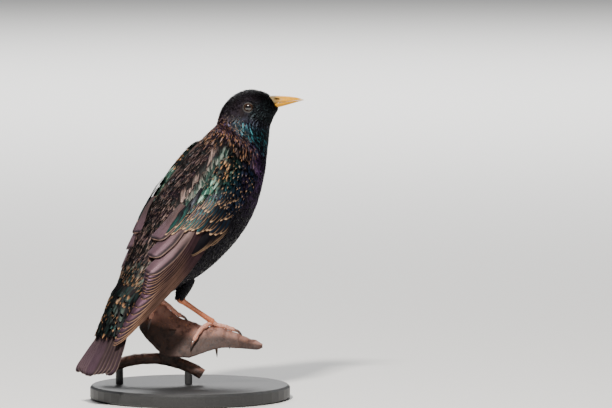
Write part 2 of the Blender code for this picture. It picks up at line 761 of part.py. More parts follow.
def build_stand(bar):
    """A round base and two rods up to the bar. The bird's offset is undone for the base."""
    rows = ((0.0, BASE_RADIUS - 1.2), (1.2, BASE_RADIUS), (BASE_THICKNESS - 1.2, BASE_RADIUS))
    rows += ((BASE_THICKNESS, BASE_RADIUS - 1.2),)
    rings = []
    for height, radius in rows:
        ring = []
        for j in range(48):
            turn = 2 * math.pi * j / 48
            ring.append(Vector((radius * math.cos(turn), radius * math.sin(turn), height)) - BIRD_AT)
        rings.append(ring)
    base = fuse("stand_base", [loft("stand_base", rings)], stand_finish())
    radius, (middle, top) = BAR_ARC, BAR_TOP
    for i, place in enumerate(ROD_PLACES):
        off = place - middle
        height = top - radius + math.sqrt(radius * radius - off * off)
        path = [perch_point(place, 0.0, BASE_THICKNESS - GROUND + GAP), perch_point(place, 0.0, height)]
        rod = tube("rod", path, (ROD_RADIUS, ROD_RADIUS), 14)
        fuse(f"stand_rod_{i + 1}", [rod], stand_finish(), [swollen(bar)])
    return base


def leaf_top(place, depth):
    """The height of the leaf's upper face, and how steep it is across the perch."""
    ridge, low, half = row_at(LEAF_ROWS, place)[1:]
    knots = ((0.0, 0.0), (0.12, 0.03), (0.45, 0.3), (0.8, 0.72), (1.0, 1.0))
    part = min(1.0, abs(depth) / half)
    i = int(min(3, sum(1 for k in knots[1:] if part >= k[0])))
    (d0, f0), (d1, f1) = knots[i], knots[i + 1]
    fall = f0 + (f1 - f0) * (part - d0) / (d1 - d0)
    return ridge - (ridge - low) * fall, (ridge - low) / half * (f1 - f0) / (d1 - d0)


def on_leaf(place, depth, radius):
    """A toe's centre where it rests on the leaf, or beside the leaf's edge beyond it."""
    low, half = row_at(LEAF_ROWS, place)[2:]
    if abs(depth) <= half:
        height, steep = leaf_top(place, depth)
        return perch_point(place, depth, height + radius * math.sqrt(1 + steep * steep))
    below = (abs(depth) - half) * 1.6
    return perch_point(place, math.copysign(half + radius * 0.9, depth), low - below)


def toe_paths(side):
    """Four toes from a foot joint, hind, inner, middle and outer, as paths over the iron."""
    places = TOES_RIGHT if side == "right" else TOES_LEFT
    start = FOOT_RIGHT if side == "right" else FOOT_LEFT
    for row in places:
        yield [start] + [on_leaf(place, depth, TOE_RADIUS) for place, depth in row]


def build_foot(side, foot, perch):
    pieces = [ball("joint", foot, 2.1, 5, 8)]
    for path in toe_paths(side):
        radii = [TOE_RADIUS * f for f in (1.15, 1.1, 1.05, 1.0, 0.85)]
        pieces.append(tube("toe", path, radii, 6))
    return fuse(f"foot_{side}", pieces, leg_skin(), [swollen(o) for o in perch])


def build_claws(side, foot_node, perch):
    """A curved claw at the end of each toe, turned in against the iron."""
    for i, path in enumerate(toe_paths(side)):
        tip = path[-1]
        ahead = (path[-1] - path[-2]).normalized()
        down = (Vector((0, 0, -1)) + ahead * 0.6).normalized()
        curve = [tip - ahead * 0.6, tip + ahead * 1.6, tip + ahead * 2.8 + down * 1.2]
        curve.append(tip + ahead * 3.2 + down * 3.0)
        claw = tube("claw", curve, (0.95, 0.8, 0.55, 0.22), 5)
        fuse(f"claw_{side}_{i + 1}", [claw], claw_horn(), [swollen(o) for o in (foot_node, *perch)])


def build_leg(side, torso, perch):
    right = side == "right"
    top, end = THIGH_RIGHT if right else THIGH_LEFT
    ankle, foot = (ANKLE_RIGHT, FOOT_RIGHT) if right else (ANKLE_LEFT, FOOT_LEFT)
    shank = tube("thigh", (top, top.lerp(end, 0.6), end), (5.2, 3.6, 2.5), 12)
    thigh = fuse(f"thigh_{side}", [shank], plumage(), [swollen(torso)])
    foot_node = build_foot(side, foot, perch)
    way = foot - ankle
    path = [ankle - way * 0.01, ankle + way * 0.08, ankle + way * 0.5, ankle + way * 0.92, foot]
    radii = [TARSUS_RADIUS * f for f in (1.2, 1.1, 0.95, 1.0, 1.1)]
    cutters = [swollen(o) for o in (thigh, foot_node, torso, *perch)]
    fuse(f"tarsus_{side}", [tube("tarsus", path, radii, 10)], leg_skin(), cutters)
    build_claws(side, foot_node, perch)


def main():
    clear_scene()
    torso = build_torso()
    build_neck()
    bill = build_bill()
    eyes = build_eyes()
    build_head(bill, eyes)
    tail = build_tail(torso)
    build_wing("wing_right", False, (torso, tail))
    build_wing("wing_left", True, (torso, tail))
    bar = build_bar()
    leaf = build_leaf(bar)
    build_leg("right", torso, (leaf, bar))
    build_leg("left", torso, (leaf, bar))
    build_stand(bar)


main()
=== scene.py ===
"""How the starling looks: skin, plumage, bill, eyes, legs, rusty perch and stand.

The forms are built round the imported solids. Lengths are in millimetres from the bird's
reference point, and are placed over the base in metres when a mesh is made.
"""
import math

import bmesh
import bpy
import numpy as np
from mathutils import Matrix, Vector
from mathutils.kdtree import KDTree


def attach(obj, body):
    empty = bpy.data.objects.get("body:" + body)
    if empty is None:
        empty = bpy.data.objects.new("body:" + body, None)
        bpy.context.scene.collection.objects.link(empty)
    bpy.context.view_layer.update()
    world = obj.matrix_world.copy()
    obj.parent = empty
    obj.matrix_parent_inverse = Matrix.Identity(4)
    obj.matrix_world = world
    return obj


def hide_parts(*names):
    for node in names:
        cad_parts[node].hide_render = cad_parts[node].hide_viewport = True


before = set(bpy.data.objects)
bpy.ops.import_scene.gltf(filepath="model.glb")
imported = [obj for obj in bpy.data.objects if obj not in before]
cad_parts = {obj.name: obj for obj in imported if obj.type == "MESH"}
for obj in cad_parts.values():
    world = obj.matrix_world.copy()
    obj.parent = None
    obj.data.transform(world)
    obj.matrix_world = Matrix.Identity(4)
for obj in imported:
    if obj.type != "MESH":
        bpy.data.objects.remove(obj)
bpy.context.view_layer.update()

MM = 0.001
GROUND = 13.5
BIRD_AT = np.array((-2.3, 1.9, GROUND))
TURN = 40.0
HEAD_TURN = 47.0
NECK_X = 42.9
WING_PITCH = 45.0
CARPAL_AT = 103.4
WING_LENGTH = 133.0
WING_SQUARE = 2.5
WING_BOW = 1.6
LEFT_WING_LIFT = 2.6
LEFT_WING_RISE = 2.2
LEFT_WING_FORWARD = 5.0

# back x z, belly x z, half width, share of the head's turn, squareness, from tail root to bill
BODY_ROWS = (
    (-49.5, 48.5, -45.5, 37.5, 8.5, 0.0, 2.0),
    (-43.0, 59.5, -30.5, 44.0, 13.0, 0.0, 2.0),
    (-34.5, 74.0, -13.5, 49.5, 17.5, 0.0, 2.1),
    (-23.0, 91.5, 7.5, 59.0, 21.5, 0.0, 2.2),
    (-8.5, 109.0, 26.5, 72.0, 23.0, 0.0, 2.2),
    (5.5, 123.5, 40.0, 86.0, 23.0, 0.0, 2.2),
    (17.5, 135.0, 48.5, 101.0, 21.5, 0.05, 2.2),
    (25.5, 141.5, 55.0, 117.5, 18.5, 0.25, 2.1),
    (28.2, 143.9, 57.9, 131.3, 15.4, 0.65, 2.0),
    (28.6, 145.6, 59.0, 142.2, 13.5, 1.0, 2.0),
    (31.2, 153.4, 60.8, 147.2, 12.2, 1.0, 2.0),
    (37.6, 160.6, 62.4, 150.4, 11.0, 1.0, 2.0),
    (46.0, 164.3, 63.6, 152.3, 9.1, 1.0, 1.9),
    (53.4, 163.7, 64.4, 153.8, 6.6, 1.0, 1.8),
    (58.0, 162.0, 64.8, 154.5, 4.7, 1.0, 1.8),
    (60.4, 160.9, 65.0, 155.0, 3.6, 1.0, 1.8),
)

# behind the bend, centre height, height, half width
WING_ROWS = (
    (-3.0, 58.6, 24.4, 23.4),
    (6.0, 58.4, 26.0, 25.0),
    (20.0, 58.2, 27.4, 26.4),
    (38.0, 57.8, 27.4, 26.6),
    (56.0, 57.8, 25.4, 25.4),
    (75.0, 57.8, 21.6, 22.8),
    (92.0, 57.8, 16.2, 19.5),
    (108.0, 57.8, 11.0, 17.0),
    (134.0, 57.8, 5.2, 13.4),
)

# down the tail, off it, height, half width
TAIL_ROWS = (
    (4.0, -1.9, 9.2, 12.6),
    (12.0, 0.4, 8.0, 11.0),
    (19.4, 1.9, 5.9, 9.4),
    (26.0, 1.5, 5.1, 9.8),
    (32.0, 0.9, 4.1, 10.3),
    (39.0, 0.3, 3.0, 10.8),
    (48.0, 0.0, 2.2, 11.2),
)
TAIL_ROOT = np.array((-35.1, 0.0, 58.0))
TAIL_LENGTH = 63.0
TAIL_PITCH = 56.5
TAIL_FEATHERS = 12
TAIL_SPREAD = 29.0
TAIL_FEATHER_WIDTH = 9.0
FEATHER_STEP = 0.34

EYE_AT = np.array((48.0, 8.3, 154.4))
EYE_RADIUS = 3.3
LID_RADIUS = 2.92

# forward, top, mouth, bottom, half width
BILL_ROWS = (
    (55.6, 159.0, 152.9, 151.6, 6.1),
    (58.0, 160.7, 154.8, 152.9, 5.5),
    (61.0, 161.0, 156.0, 153.8, 4.7),
    (65.2, 160.9, 157.0, 154.4, 3.7),
    (70.6, 160.6, 157.7, 155.9, 2.7),
    (75.0, 160.0, 158.2, 157.2, 1.75),
    (77.8, 159.3, 158.5, 158.0, 1.0),
    (79.1, 158.9, 158.6, 158.3, 0.55),
)

THIGHS = {
    "right": ((-4.0, -8.6, 59.0), (-10.4, -8.3, 46.4)),
    "left": ((-14.5, 9.5, 62.0), (-17.0, 9.5, 47.2)),
}
ANKLES = {"right": (-10.8, -8.2, 45.6), "left": (-25.0, 10.0, 50.5)}
FEET = {"right": (12.1, -10.0, 31.2), "left": (-10.5, 9.1, 43.2)}
TOE_RADIUS = 1.35
TOES = {
    "right": (
        ((13.6, -1.2), (10.2, -3.4), (7.4, -5.8), (5.2, -7.8)),
        ((15.8, 2.2), (16.6, 5.0), (17.4, 7.8), (18.0, 9.2)),
        ((17.8, 1.8), (20.4, 4.0), (22.6, 6.0), (24.2, 7.8)),
        ((18.6, 0.3), (22.2, 0.2), (25.8, 0.1), (29.2, -0.2)),
    ),
    "left": (
        ((-15.4, -1.0), (-17.2, -2.4), (-18.8, -3.8), (-20.0, -5.0)),
        ((-10.6, 0.2), (-7.6, 0.2), (-4.6, 0.1), (-1.8, 0.0)),
        ((-11.8, 1.8), (-9.6, 3.5), (-7.6, 5.1), (-6.2, 6.3)),
        ((-13.6, 1.9), (-13.6, 3.5), (-13.6, 5.1), (-13.8, 6.3)),
    ),
}

# place along the perch, ridge, low edge, half depth
LEAF_ROWS = (
    (-26.5, 31.0, 27.5, 2.0),
    (-24.5, 36.0, 24.5, 4.8),
    (-19.5, 40.2, 19.0, 7.4),
    (-12.0, 40.4, 12.5, 9.0),
    (-4.0, 34.0, 11.2, 9.4),
    (4.0, 31.2, 11.4, 9.4),
    (12.0, 28.5, 14.2, 9.0),
    (20.0, 27.6, 16.3, 8.4),
    (28.0, 25.2, 16.4, 7.4),
    (36.0, 22.0, 15.6, 5.8),
    (42.0, 20.0, 15.2, 4.2),
    (45.0, 18.2, 16.0, 2.2),
)
LEAF_WALL = 4.5

# the leaf's upper face from edge to ridge: share of its half depth, share of its fall
LEAF_TOP = (
    (-1.0, 1.0), (-0.92, 0.86), (-0.8, 0.72), (-0.62, 0.50),
    (-0.45, 0.3), (-0.27, 0.12), (-0.12, 0.03), (0.0, 0.0),
)
# the same more simply, for the toes
LEAF_PARTS = (0.0, 0.12, 0.45, 0.8, 1.0)
LEAF_FALLS = (0.0, 0.03, 0.3, 0.72, 1.0)
BAR_RADIUS = 3.2
BAR_ARC = 54.0
BAR_TOP = (-20.3, 9.6)
BAR_ENDS = (-47.0, 10.0)

# colours, linear
BLACK = (0.012, 0.011, 0.014)
BUFF = (0.50, 0.31, 0.18)
MAUVE = (0.28, 0.15, 0.24)
SHANK_RED = (0.62, 0.20, 0.095)
TOE_PINK = (0.60, 0.27, 0.19)

# heights of root, middle and tip, rows and columns of points, point, widest place, raggedness
FEATHERS = {
    "body": (-0.9, -0.1, 0.35, 7, 5, 0.95, 0.42, 0.14),
    "head": (-0.55, -0.05, 0.3, 6, 4, 0.95, 0.38, 0.12),
    "thigh": (-0.5, 0.0, 0.3, 5, 4, 0.8, 0.4, 0.12),
    "tail": (-0.9, 0.0, 0.5, 9, 6, 0.6, 0.5, 0.08),
    "lesser": (0.2, 1.6, 2.3, 8, 5, 0.85, 0.45, 0.10),
    "scapular": (0.2, 2.1, 2.6, 8, 5, 0.85, 0.45, 0.10),
}
VANE_SCALE = 0.1

# spans behind the bend and round it, gaps, the reach over which lengths and half widths change, lean
WING_FIELDS = {
    "lesser": ((-3.0, 24.0), (-1.0, 24.0), (2.5, 1.25), 30, (6.0, 9.5), (0.95, 1.3), 0.0),
    "scapular": ((0.0, 48.0), (14.0, 29.0), (2.7, 1.25), 48, (9.5, 14.5), (0.95, 1.35), -0.08),
}

# name, count, first and last root, first and last tip, half widths, rise, slope, crowding of the tips
WING_TIERS = (
    ("primary", 9, (40, 1.6), (50, 8), (131.5, 3.2), (101, 8.6), (3.1, 3.9), 1.4, 0.45, 1.5),
    ("secondary", 6, (48, 8), (50, 15), (97.5, 9.6), (89.5, 14.2), (4.3, 4.8), 1.45, 0.3, 1),
    ("tertial", 3, (46, 13), (42, 27), (87.5, 15.4), (68.5, 27), (4.6, 5.6), 1.7, 0.26, 1),
    ("hand_covert", 7, (20, -0.4), (34, 2.6), (48, -1), (64, 3.2), (2.0, 2.4), 1.6, 0.4, 1),
    ("great_covert", 16, (26, 0), (42, 24), (40, -0.6), (62, 23), (1.5, 2.2), 1.85, 0.34, 0.7),
    ("middle_covert", 13, (20, 1.5), (36, 23), (34, 1.5), (55, 21), (1.35, 1.9), 2.0, 0.34, 0.8),
    ("middle_covert", 13, (12, 2.8), (28, 22.5), (25, 3), (47, 20), (1.3, 1.8), 2.15, 0.34, 0.9),
)
ATLAS_PATCHES = 81

# the plate under a wing's feathers: behind the bend, low edge, high edge
BED_ROWS = (
    (-2, 1, 12), (6, -1, 23), (20, -1.6, 29), (38, -0.6, 30), (56, -0.6, 28), (75, -1, 20), (92, 0, 11),
    (108, 1.4, 5), (122, 2.0, 4),
)

# base, rim, metal, roughness, and the dark band beside the rim: far side, near side, strength
FLIGHT_LOOKS = {
    "tertial": ((0.085, 0.055, 0.052), (0.36, 0.22, 0.15), 0.45, 0.42, (3.2, 1.4), (0.3, 0.7), 1.0),
    "primary": ((0.045, 0.024, 0.028), (0.34, 0.19, 0.11), 0.6, 0.38, (2.3, 0.9), (0.2, 0.5), 1.0),
    "tail": ((0.055, 0.037, 0.039), (0.27, 0.19, 0.16), 0.5, 0.42, (2.4, 1.1), (0.3, 0.8), 0.9),
    "covert": ((0.022, 0.020, 0.024), BUFF, 0.9, 0.36, (2.0, 1.0), (-1.0, 0.0), 0.6),
}
FLIGHT_LOOKS["secondary"] = FLIGHT_LOOKS["primary"]

# name, place, aim, size, watts, colour, in metres
LAMPS = (
    ("key", (-0.75, -0.55, 1.05), (0.0, 0.0, 0.1), (0.14, 0.14), 33.0, (1.0, 0.96, 0.90)),
    ("fill", (0.9, -1.2, 0.45), (0.0, 0.0, 0.1), (1.0, 0.8), 0.7, (0.90, 0.95, 1.0)),
    ("rim", (-0.2, 1.1, 0.9), (0.0, 0.0, 0.1), (0.8, 0.4), 0.7, (1.0, 1.0, 1.0)),
    ("top", (0.0, -0.1, 1.3), (0.0, 0.0, 0.1), (0.9, 0.9), 1.6, (0.97, 0.98, 1.0)),
    ("floor_glow", (2.4, 2.8, 2.6), (2.4, 2.9, 0.0), (3.5, 3.5), 300.0, (1.0, 1.0, 1.0)),
)

# the photograph: its width and height in pixels, and where the bird's reference point is in it
PHOTO_SIZE = (612, 408)
PHOTO_REFERENCE = (185, 375)
MM_TO_PIXEL = 0.58
CAMERA_LENS = 300.0
CAMERA_SENSOR = 36.0
CAMERA_AZIMUTH = -40.0
CAMERA_ELEVATION = 4.0


def smooth(table, at):
    """A smooth curve through the rows of a table, read at fractional rows, straight beyond its ends."""
    table = np.asarray(table, float)
    at = np.asarray(at, float)
    last = len(table) - 1
    held = np.clip(at, 0, last)
    i = np.minimum(held.astype(int), last - 1)
    t = (held - i)[..., None]
    before = np.vstack([2 * table[0] - table[1], table, 2 * table[-1] - table[-2]])
    p0, p1, p2, p3 = before[i], before[i + 1], before[i + 2], before[i + 3]
    value = 0.5 * (2 * p1 + (p2 - p0) * t + (2 * p0 - 5 * p1 + 4 * p2 - p3) * t ** 2
                   + (3 * p1 - p0 - 3 * p2 + p3) * t ** 3)
    slope = 0.5 * ((p2 - p0) + 2 * (2 * p0 - 5 * p1 + 4 * p2 - p3) * t
                   + 3 * (3 * p1 - p0 - 3 * p2 + p3) * t ** 2)
    return value + slope * (at - held)[..., None]


def row_at(rows, value):
    """The other columns of a table at a value of its first column."""
    rows = np.asarray(rows, float)
    at = np.interp(value, rows[:, 0], np.arange(len(rows)))
    return smooth(rows[:, 1:], at)


def unit(vector):
    """Vectors at a length of one."""
    return vector / np.maximum(np.linalg.norm(vector, axis=-1, keepdims=True), 1e-9)


def power(value, exponent):
    """A power that keeps the sign."""
    return np.copysign(np.abs(value) ** exponent, value)


def step(low, high, value):
    """Rises smoothly from 0 at low to 1 at high."""
    t = np.clip((np.asarray(value, float) - low) / (high - low), 0, 1)
    return t * t * (3 - 2 * t)


def mix(a, b, share):
    """From a to b, by a share that needs no colour axis."""
    share = np.asarray(share)[..., None]
    return np.asarray(a) * (1 - share) + np.asarray(b) * share


def blend(colour, *layers):
    """A colour with others laid over it in turn, each by its share."""
    for over, share in layers:
        colour = mix(colour, over, share)
    return colour


def turned(point, share=1.0):
    """Points turned to the bird's right about the neck by a share of the head's turn."""
    point = np.asarray(point, float)
    angle = np.radians(-HEAD_TURN * np.asarray(share, float))
    x, y = point[..., 0] - NECK_X, point[..., 1]
    c, s = np.cos(angle), np.sin(angle)
    return np.stack([NECK_X + x * c - y * s, x * s + y * c, point[..., 2]], -1)


def body_form(at, angle):
    """The outside of the body's coat, by fractional section and angle from the back's middle line."""
    row = smooth(BODY_ROWS, at)
    back, belly = row[..., 0:2], row[..., 2:4]
    half, share, square = row[..., 4], row[..., 5], 2.0 / row[..., 6]
    centre, arm = (back + belly) / 2, (back - belly) / 2
    c, s = power(np.cos(angle), square), power(np.sin(angle), square)
    flat = centre + arm * c[..., None]
    return turned(np.stack([flat[..., 0], half * s, flat[..., 1]], -1), share)


def sloped(pitch, turn=0.0):
    """Directions down a slope behind the bird, to its left and up off it, fanned by turn degrees."""
    p, a = math.radians(pitch), math.radians(turn)
    down = np.array((-math.cos(p), 0.0, -math.sin(p)))
    up = np.array((-math.sin(p), 0.0, math.cos(p)))
    left = np.array((0.0, 1.0, 0.0))
    ahead = down * math.cos(a) + np.cross(up, down) * math.sin(a)
    across = left * math.cos(a) + np.cross(up, left) * math.sin(a)
    return ahead, across, up


def wing_axes(left):
    """Directions down a wing, out from the bird's side and up off the wing's edge."""
    down, out, up = sloped(WING_PITCH)
    return down, out if left else -out, up


def wing_form(left):
    """The outside of a folded wing, by length behind the bend and length round it from the side."""
    down, out, up = wing_axes(left)
    hinge = row_at(WING_ROWS, 0.0)[0]
    lift = math.radians(LEFT_WING_LIFT)

    def form(behind, across):
        row = row_at(WING_ROWS, behind)
        middle, high, wide = row[..., 0], row[..., 1], row[..., 2]
        turn = across / ((high + wide) / 2)
        square = 2.0 / (WING_SQUARE + (2.0 - WING_SQUARE) * np.clip(behind / WING_LENGTH, 0, 1))
        over = middle + high * power(np.sin(turn), square)
        side = wide * power(np.cos(turn), square)
        if left:
            # this wing is turned a little about its bend, and held higher and further forward
            rise = over - hinge
            over = hinge + rise * math.cos(lift) - behind * math.sin(lift) + LEFT_WING_RISE
            behind = behind * math.cos(lift) + rise * math.sin(lift) - LEFT_WING_FORWARD
        return down * (behind - CARPAL_AT)[..., None] + up * over[..., None] + out * side[..., None]

    return form


def tail_form(along, angle):
    """The outside of the coverts round the root of the tail."""
    row = row_at(TAIL_ROWS, along)
    down, left, up = sloped(TAIL_PITCH)
    point = TAIL_ROOT + down * along[..., None]
    point = point + up * (row[..., 0] + row[..., 1] * np.cos(angle))[..., None]
    return point + left * (row[..., 2] * np.sin(angle))[..., None]


def thigh_form(side):
    """The outside of the feathered shin, by share of its length and angle."""
    path = np.array(THIGHS[side])
    ahead = unit(path[1] - path[0])
    across = unit(np.cross(ahead, (0, 1, 0)))
    other = np.cross(ahead, across)

    def form(along, angle):
        radius = np.interp(along, (0.0, 0.6, 1.0, 1.1), (5.4, 4.0, 2.7, 2.3))
        centre = path[0] + (path[1] - path[0]) * along[..., None]
        ring = across * np.cos(angle)[..., None] + other * np.sin(angle)[..., None]
        return centre + ring * radius[..., None]

    return form


class Surface:
    """A smooth sheet sampled on a grid, read at two numbers as a point and its outward direction."""

    def __init__(self, form, first, second, size, left=False):
        self.first, self.second, self.size, self.left = first, second, size, left
        u = np.linspace(*first, size[0])
        v = np.linspace(*second, size[1])
        self.points = form(*np.meshgrid(u, v, indexing="ij"))
        self.along = np.gradient(self.points, u, axis=0)
        self.across = np.gradient(self.points, v, axis=1)
        normal = unit(np.cross(self.along, self.across))
        outward = np.sum(normal * (self.points - self.points.mean((0, 1))), -1)
        self.normal = normal * np.sign(outward.mean())

    def weights(self, u, v):
        """Grid cells, places in them, and how far the numbers lie off the grid."""
        cu, cv = np.clip(u, *self.first), np.clip(v, *self.second)
        x = (cu - self.first[0]) / (self.first[1] - self.first[0]) * (self.size[0] - 1)
        y = (cv - self.second[0]) / (self.second[1] - self.second[0]) * (self.size[1] - 1)
        i = np.minimum(x.astype(int), self.size[0] - 2)
        j = np.minimum(y.astype(int), self.size[1] - 2)
        return i, j, (x - i)[..., None], (y - j)[..., None], (u - cu)[..., None], (v - cv)[..., None]

    def pick(self, grid, w):
        """Values of a grid at weights."""
        i, j, x, y = w[:4]
        low = grid[i, j] * (1 - y) + grid[i, j + 1] * y
        high = grid[i + 1, j] * (1 - y) + grid[i + 1, j + 1] * y
        return low * (1 - x) + high * x

    def read(self, u, v):
        """Points and outward directions, carried on straight beyond the edges."""
        w = self.weights(u, v)
        point = self.pick(self.points, w)
        point = point + self.pick(self.along, w) * w[4] + self.pick(self.across, w) * w[5]
        return point, unit(self.pick(self.normal, w))

    def scale(self, u, v):
        """Millimetres to each unit, along and across."""
        w = self.weights(u, v)
        along = np.linalg.norm(self.pick(self.along, w), axis=-1)
        across = np.linalg.norm(self.pick(self.across, w), axis=-1)
        return np.maximum(along, 0.05), np.maximum(across, 0.4)


class Ground:
    """The body's surface, searched for the place nearest to a point."""

    def __init__(self, surface):
        self.places = surface.points[::3, ::3].reshape(-1, 3)
        self.normals = surface.normal[::3, ::3].reshape(-1, 3)
        self.tree = KDTree(len(self.places))
        for number, place in enumerate(self.places):
            self.tree.insert(place, number)
        self.tree.balance()

    def nearest(self, points):
        """Numbers of the places nearest to points."""
        flat = points.reshape(-1, 3)
        return np.array([self.tree.find(point)[1] for point in flat]).reshape(points.shape[:-1])

    def settled(self, points, across, left):
        """Points of a wing lowered, near its upper edge, until they lie close over the body."""
        share = step(15.0, 23.0, across) if left else step(18.5, 26.0, across)
        number = self.nearest(points)
        normal = self.normals[number]
        height = np.sum((points - self.places[number]) * normal, -1)
        drop = np.maximum(height - 0.9, 0) * share
        return points - normal * drop[..., None]


def mesh_object(name, points, faces, maps=None, colours=None):
    """A smooth mesh from arrays, with UV maps and colours given for each vertex."""
    points = (np.asarray(points, float).reshape(-1, 3) + BIRD_AT) * MM
    faces = np.asarray(faces, np.int32)
    sides = faces.shape[1]
    mesh = bpy.data.meshes.new(name)
    mesh.vertices.add(len(points))
    mesh.vertices.foreach_set("co", points.astype(np.float32).ravel())
    mesh.loops.add(faces.size)
    mesh.loops.foreach_set("vertex_index", faces.ravel())
    mesh.polygons.add(len(faces))
    mesh.polygons.foreach_set("loop_start", np.arange(0, faces.size, sides, dtype=np.int32))
    mesh.polygons.foreach_set("use_smooth", np.ones(len(faces), bool))
    for label, values in (maps or {}).items():
        layer = mesh.uv_layers.new(name=label)
        values = np.asarray(values, np.float32).reshape(-1, 2)
        layer.uv.foreach_set("vector", values[faces.ravel()].ravel())
    for label, values in (colours or {}).items():
        layer = mesh.color_attributes.new(name=label, type="FLOAT_COLOR", domain="POINT")
        values = np.asarray(values, np.float32).reshape(-1, values.shape[-1])
        if values.shape[1] == 3:
            values = np.hstack([values, np.ones((len(values), 1), np.float32)])
        layer.data.foreach_set("color", values.ravel())
    mesh.update(calc_edges=True)
    mesh.validate()
    made = bpy.data.objects.new(name, mesh)
    bpy.context.scene.collection.objects.link(made)
    return made


def settle(item, finish, nodes=()):
    """Gives a piece its material, its CAD body and the nodes that it stands for."""
    item.data.materials.clear()
    item.data.materials.append(finish)
    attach(item, "root")
    if nodes:
        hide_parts(*nodes)


def grid_faces(count, rows, cols):
    """Quads of many equal grids of points, one after another."""
    i, j = np.meshgrid(np.arange(rows - 1), np.arange(cols - 1), indexing="ij")
    corner = (i * cols + j).ravel()
    quad = np.stack([corner, corner + 1, corner + cols + 1, corner + cols], -1)
    start = (np.arange(count) * rows * cols)[:, None, None]
    return (quad[None] + start).reshape(-1, 4)


def ring_faces(rows, cols, loop=False):
    """Quads between equal rings of points, with the last ring joined to the first in a loop."""
    i, j = np.indices((rows if loop else rows - 1, cols)).reshape(2, -1)
    here, there, turn = i * cols, (i + 1) % rows * cols, (j + 1) % cols
    return np.stack([here + j, here + turn, there + turn, there + j], -1)


def deep(values):
    """One value a feather, shaped to meet rows and columns of points."""
    return np.asarray(values)[:, None, None]


def feather_width(s, point, widest):
    """Half width along a feather, from 0 to 1. A high point gives a lance, a low one a round tip."""
    rise = 0.42 + 0.58 * step(0.0, widest, s)
    t = np.clip((s - widest) / (1 - widest), 0, 1)
    fall = (1 - t ** (2.6 - 1.4 * point)) ** (0.55 + 0.35 * point)
    return rise * np.maximum(fall, 0.05)


class Coat:
    """Feathers laid over surfaces, gathered into one mesh."""

    def __init__(self, name):
        self.name, self.parts = name, []

    def add(self, points, colours, bake, side, along):
        """Feathers with their colour and shine, bake places, and lengths across and along the vane."""
        self.parts.append((points, *colours, bake, np.stack([side, along], -1) * VANE_SCALE))

    def build(self, finish, nodes=()):
        """One mesh of all the feathers."""
        faces, start = [], 0
        for part in self.parts:
            count, rows, cols = part[0].shape[:3]
            faces.append(grid_faces(count, rows, cols) + start)
            start += count * rows * cols
        points, tint, shine, bake, vane = (
            np.vstack([part[k].reshape(-1, part[k].shape[-1]) for part in self.parts]) for k in range(5))
        maps = {"OFBake": bake, "vane": vane}
        item = mesh_object(self.name, points, np.vstack(faces), maps, {"tint": tint, "shine": shine})
        settle(item, finish, nodes)


def lay(surface, u, v, kind, length, half, lean, flow, chance, ground=None):
    """Points of feathers over a surface, and how far along, across and aside each point is."""
    root, middle, tip, rows, cols, point, widest, ragged = FEATHERS[kind]
    s = np.linspace(0, 1, rows) ** 0.85
    t = np.linspace(-1, 1, cols)
    spine = []
    for pace in np.diff(s, append=1.0):
        scale_u, scale_v = surface.scale(u, v)
        spine.append((u, v, scale_u, scale_v))
        u = u + flow * np.cos(lean) * length * pace / scale_u
        v = v + np.sin(lean) * length * pace / scale_v
    su, sv, du, dv = (np.stack([q[k] for q in spine], 1)[..., None] for k in range(4))
    s = s[None, :, None]
    width = feather_width(s, point, widest) * deep(half)
    fray = ragged * chance.uniform(-1, 1, (len(length), 1, cols)) * step(0.3, 1.0, s)
    side = t * width
    ahead = fray * deep(length) * 0.5
    cosine, sine = np.cos(deep(lean)), np.sin(deep(lean))
    uu = su + (ahead * cosine - side * sine) * flow / du
    vv = sv + (side * cosine + ahead * sine) / dv
    where, normal = surface.read(uu, vv)
    rise = np.interp(s, (0.0, 0.55, 1.0), (0.0, 1.0, 2.0))
    low = np.where(rise < 1, root + (middle - root) * rise, middle + (tip - middle) * (rise - 1))
    tilt = chance.uniform(-1, 1, (len(length), 1, 1)) * 0.12
    height = low - 0.16 * width * t ** 2 + tilt * side
    height = height + chance.uniform(-0.08, 0.14, (len(length), 1, 1)) * s ** 2
    points = where + normal * height[..., None]
    if ground is not None:
        points = ground.settled(points, vv, surface.left)
    return points, s + 0 * height, t + 0 * height, side


def scatter(surface, first, second, gaps, chance, keep=None):
    """Roots in uneven rows over part of a surface, with gaps in millimetres along and across."""
    roots, u, shift = [], first[0], 0.0
    probe = np.linspace(*second, 33)
    while u < first[1]:
        scale_u, scale_v = surface.scale(np.full(33, u), probe)
        pace, gap = gaps(u) if callable(gaps) else gaps
        length = np.concatenate([[0], np.cumsum((scale_v[1:] + scale_v[:-1]) / 2 * np.diff(probe))])
        count = max(1, int(length[-1] / gap))
        v = np.interp((np.arange(count) + shift + chance.uniform(-0.3, 0.3, count)) * gap, length, probe)
        moved = chance.uniform(-0.45, 0.45, count) * pace / np.interp(v, probe, scale_u)
        roots.append((u + moved, v))
        u += pace / max(float(np.mean(scale_u)), 0.2)
        shift = 0.5 - shift
    u, v = np.hstack(roots)
    return (u, v) if keep is None else (u[keep(u, v)], v[keep(u, v)])


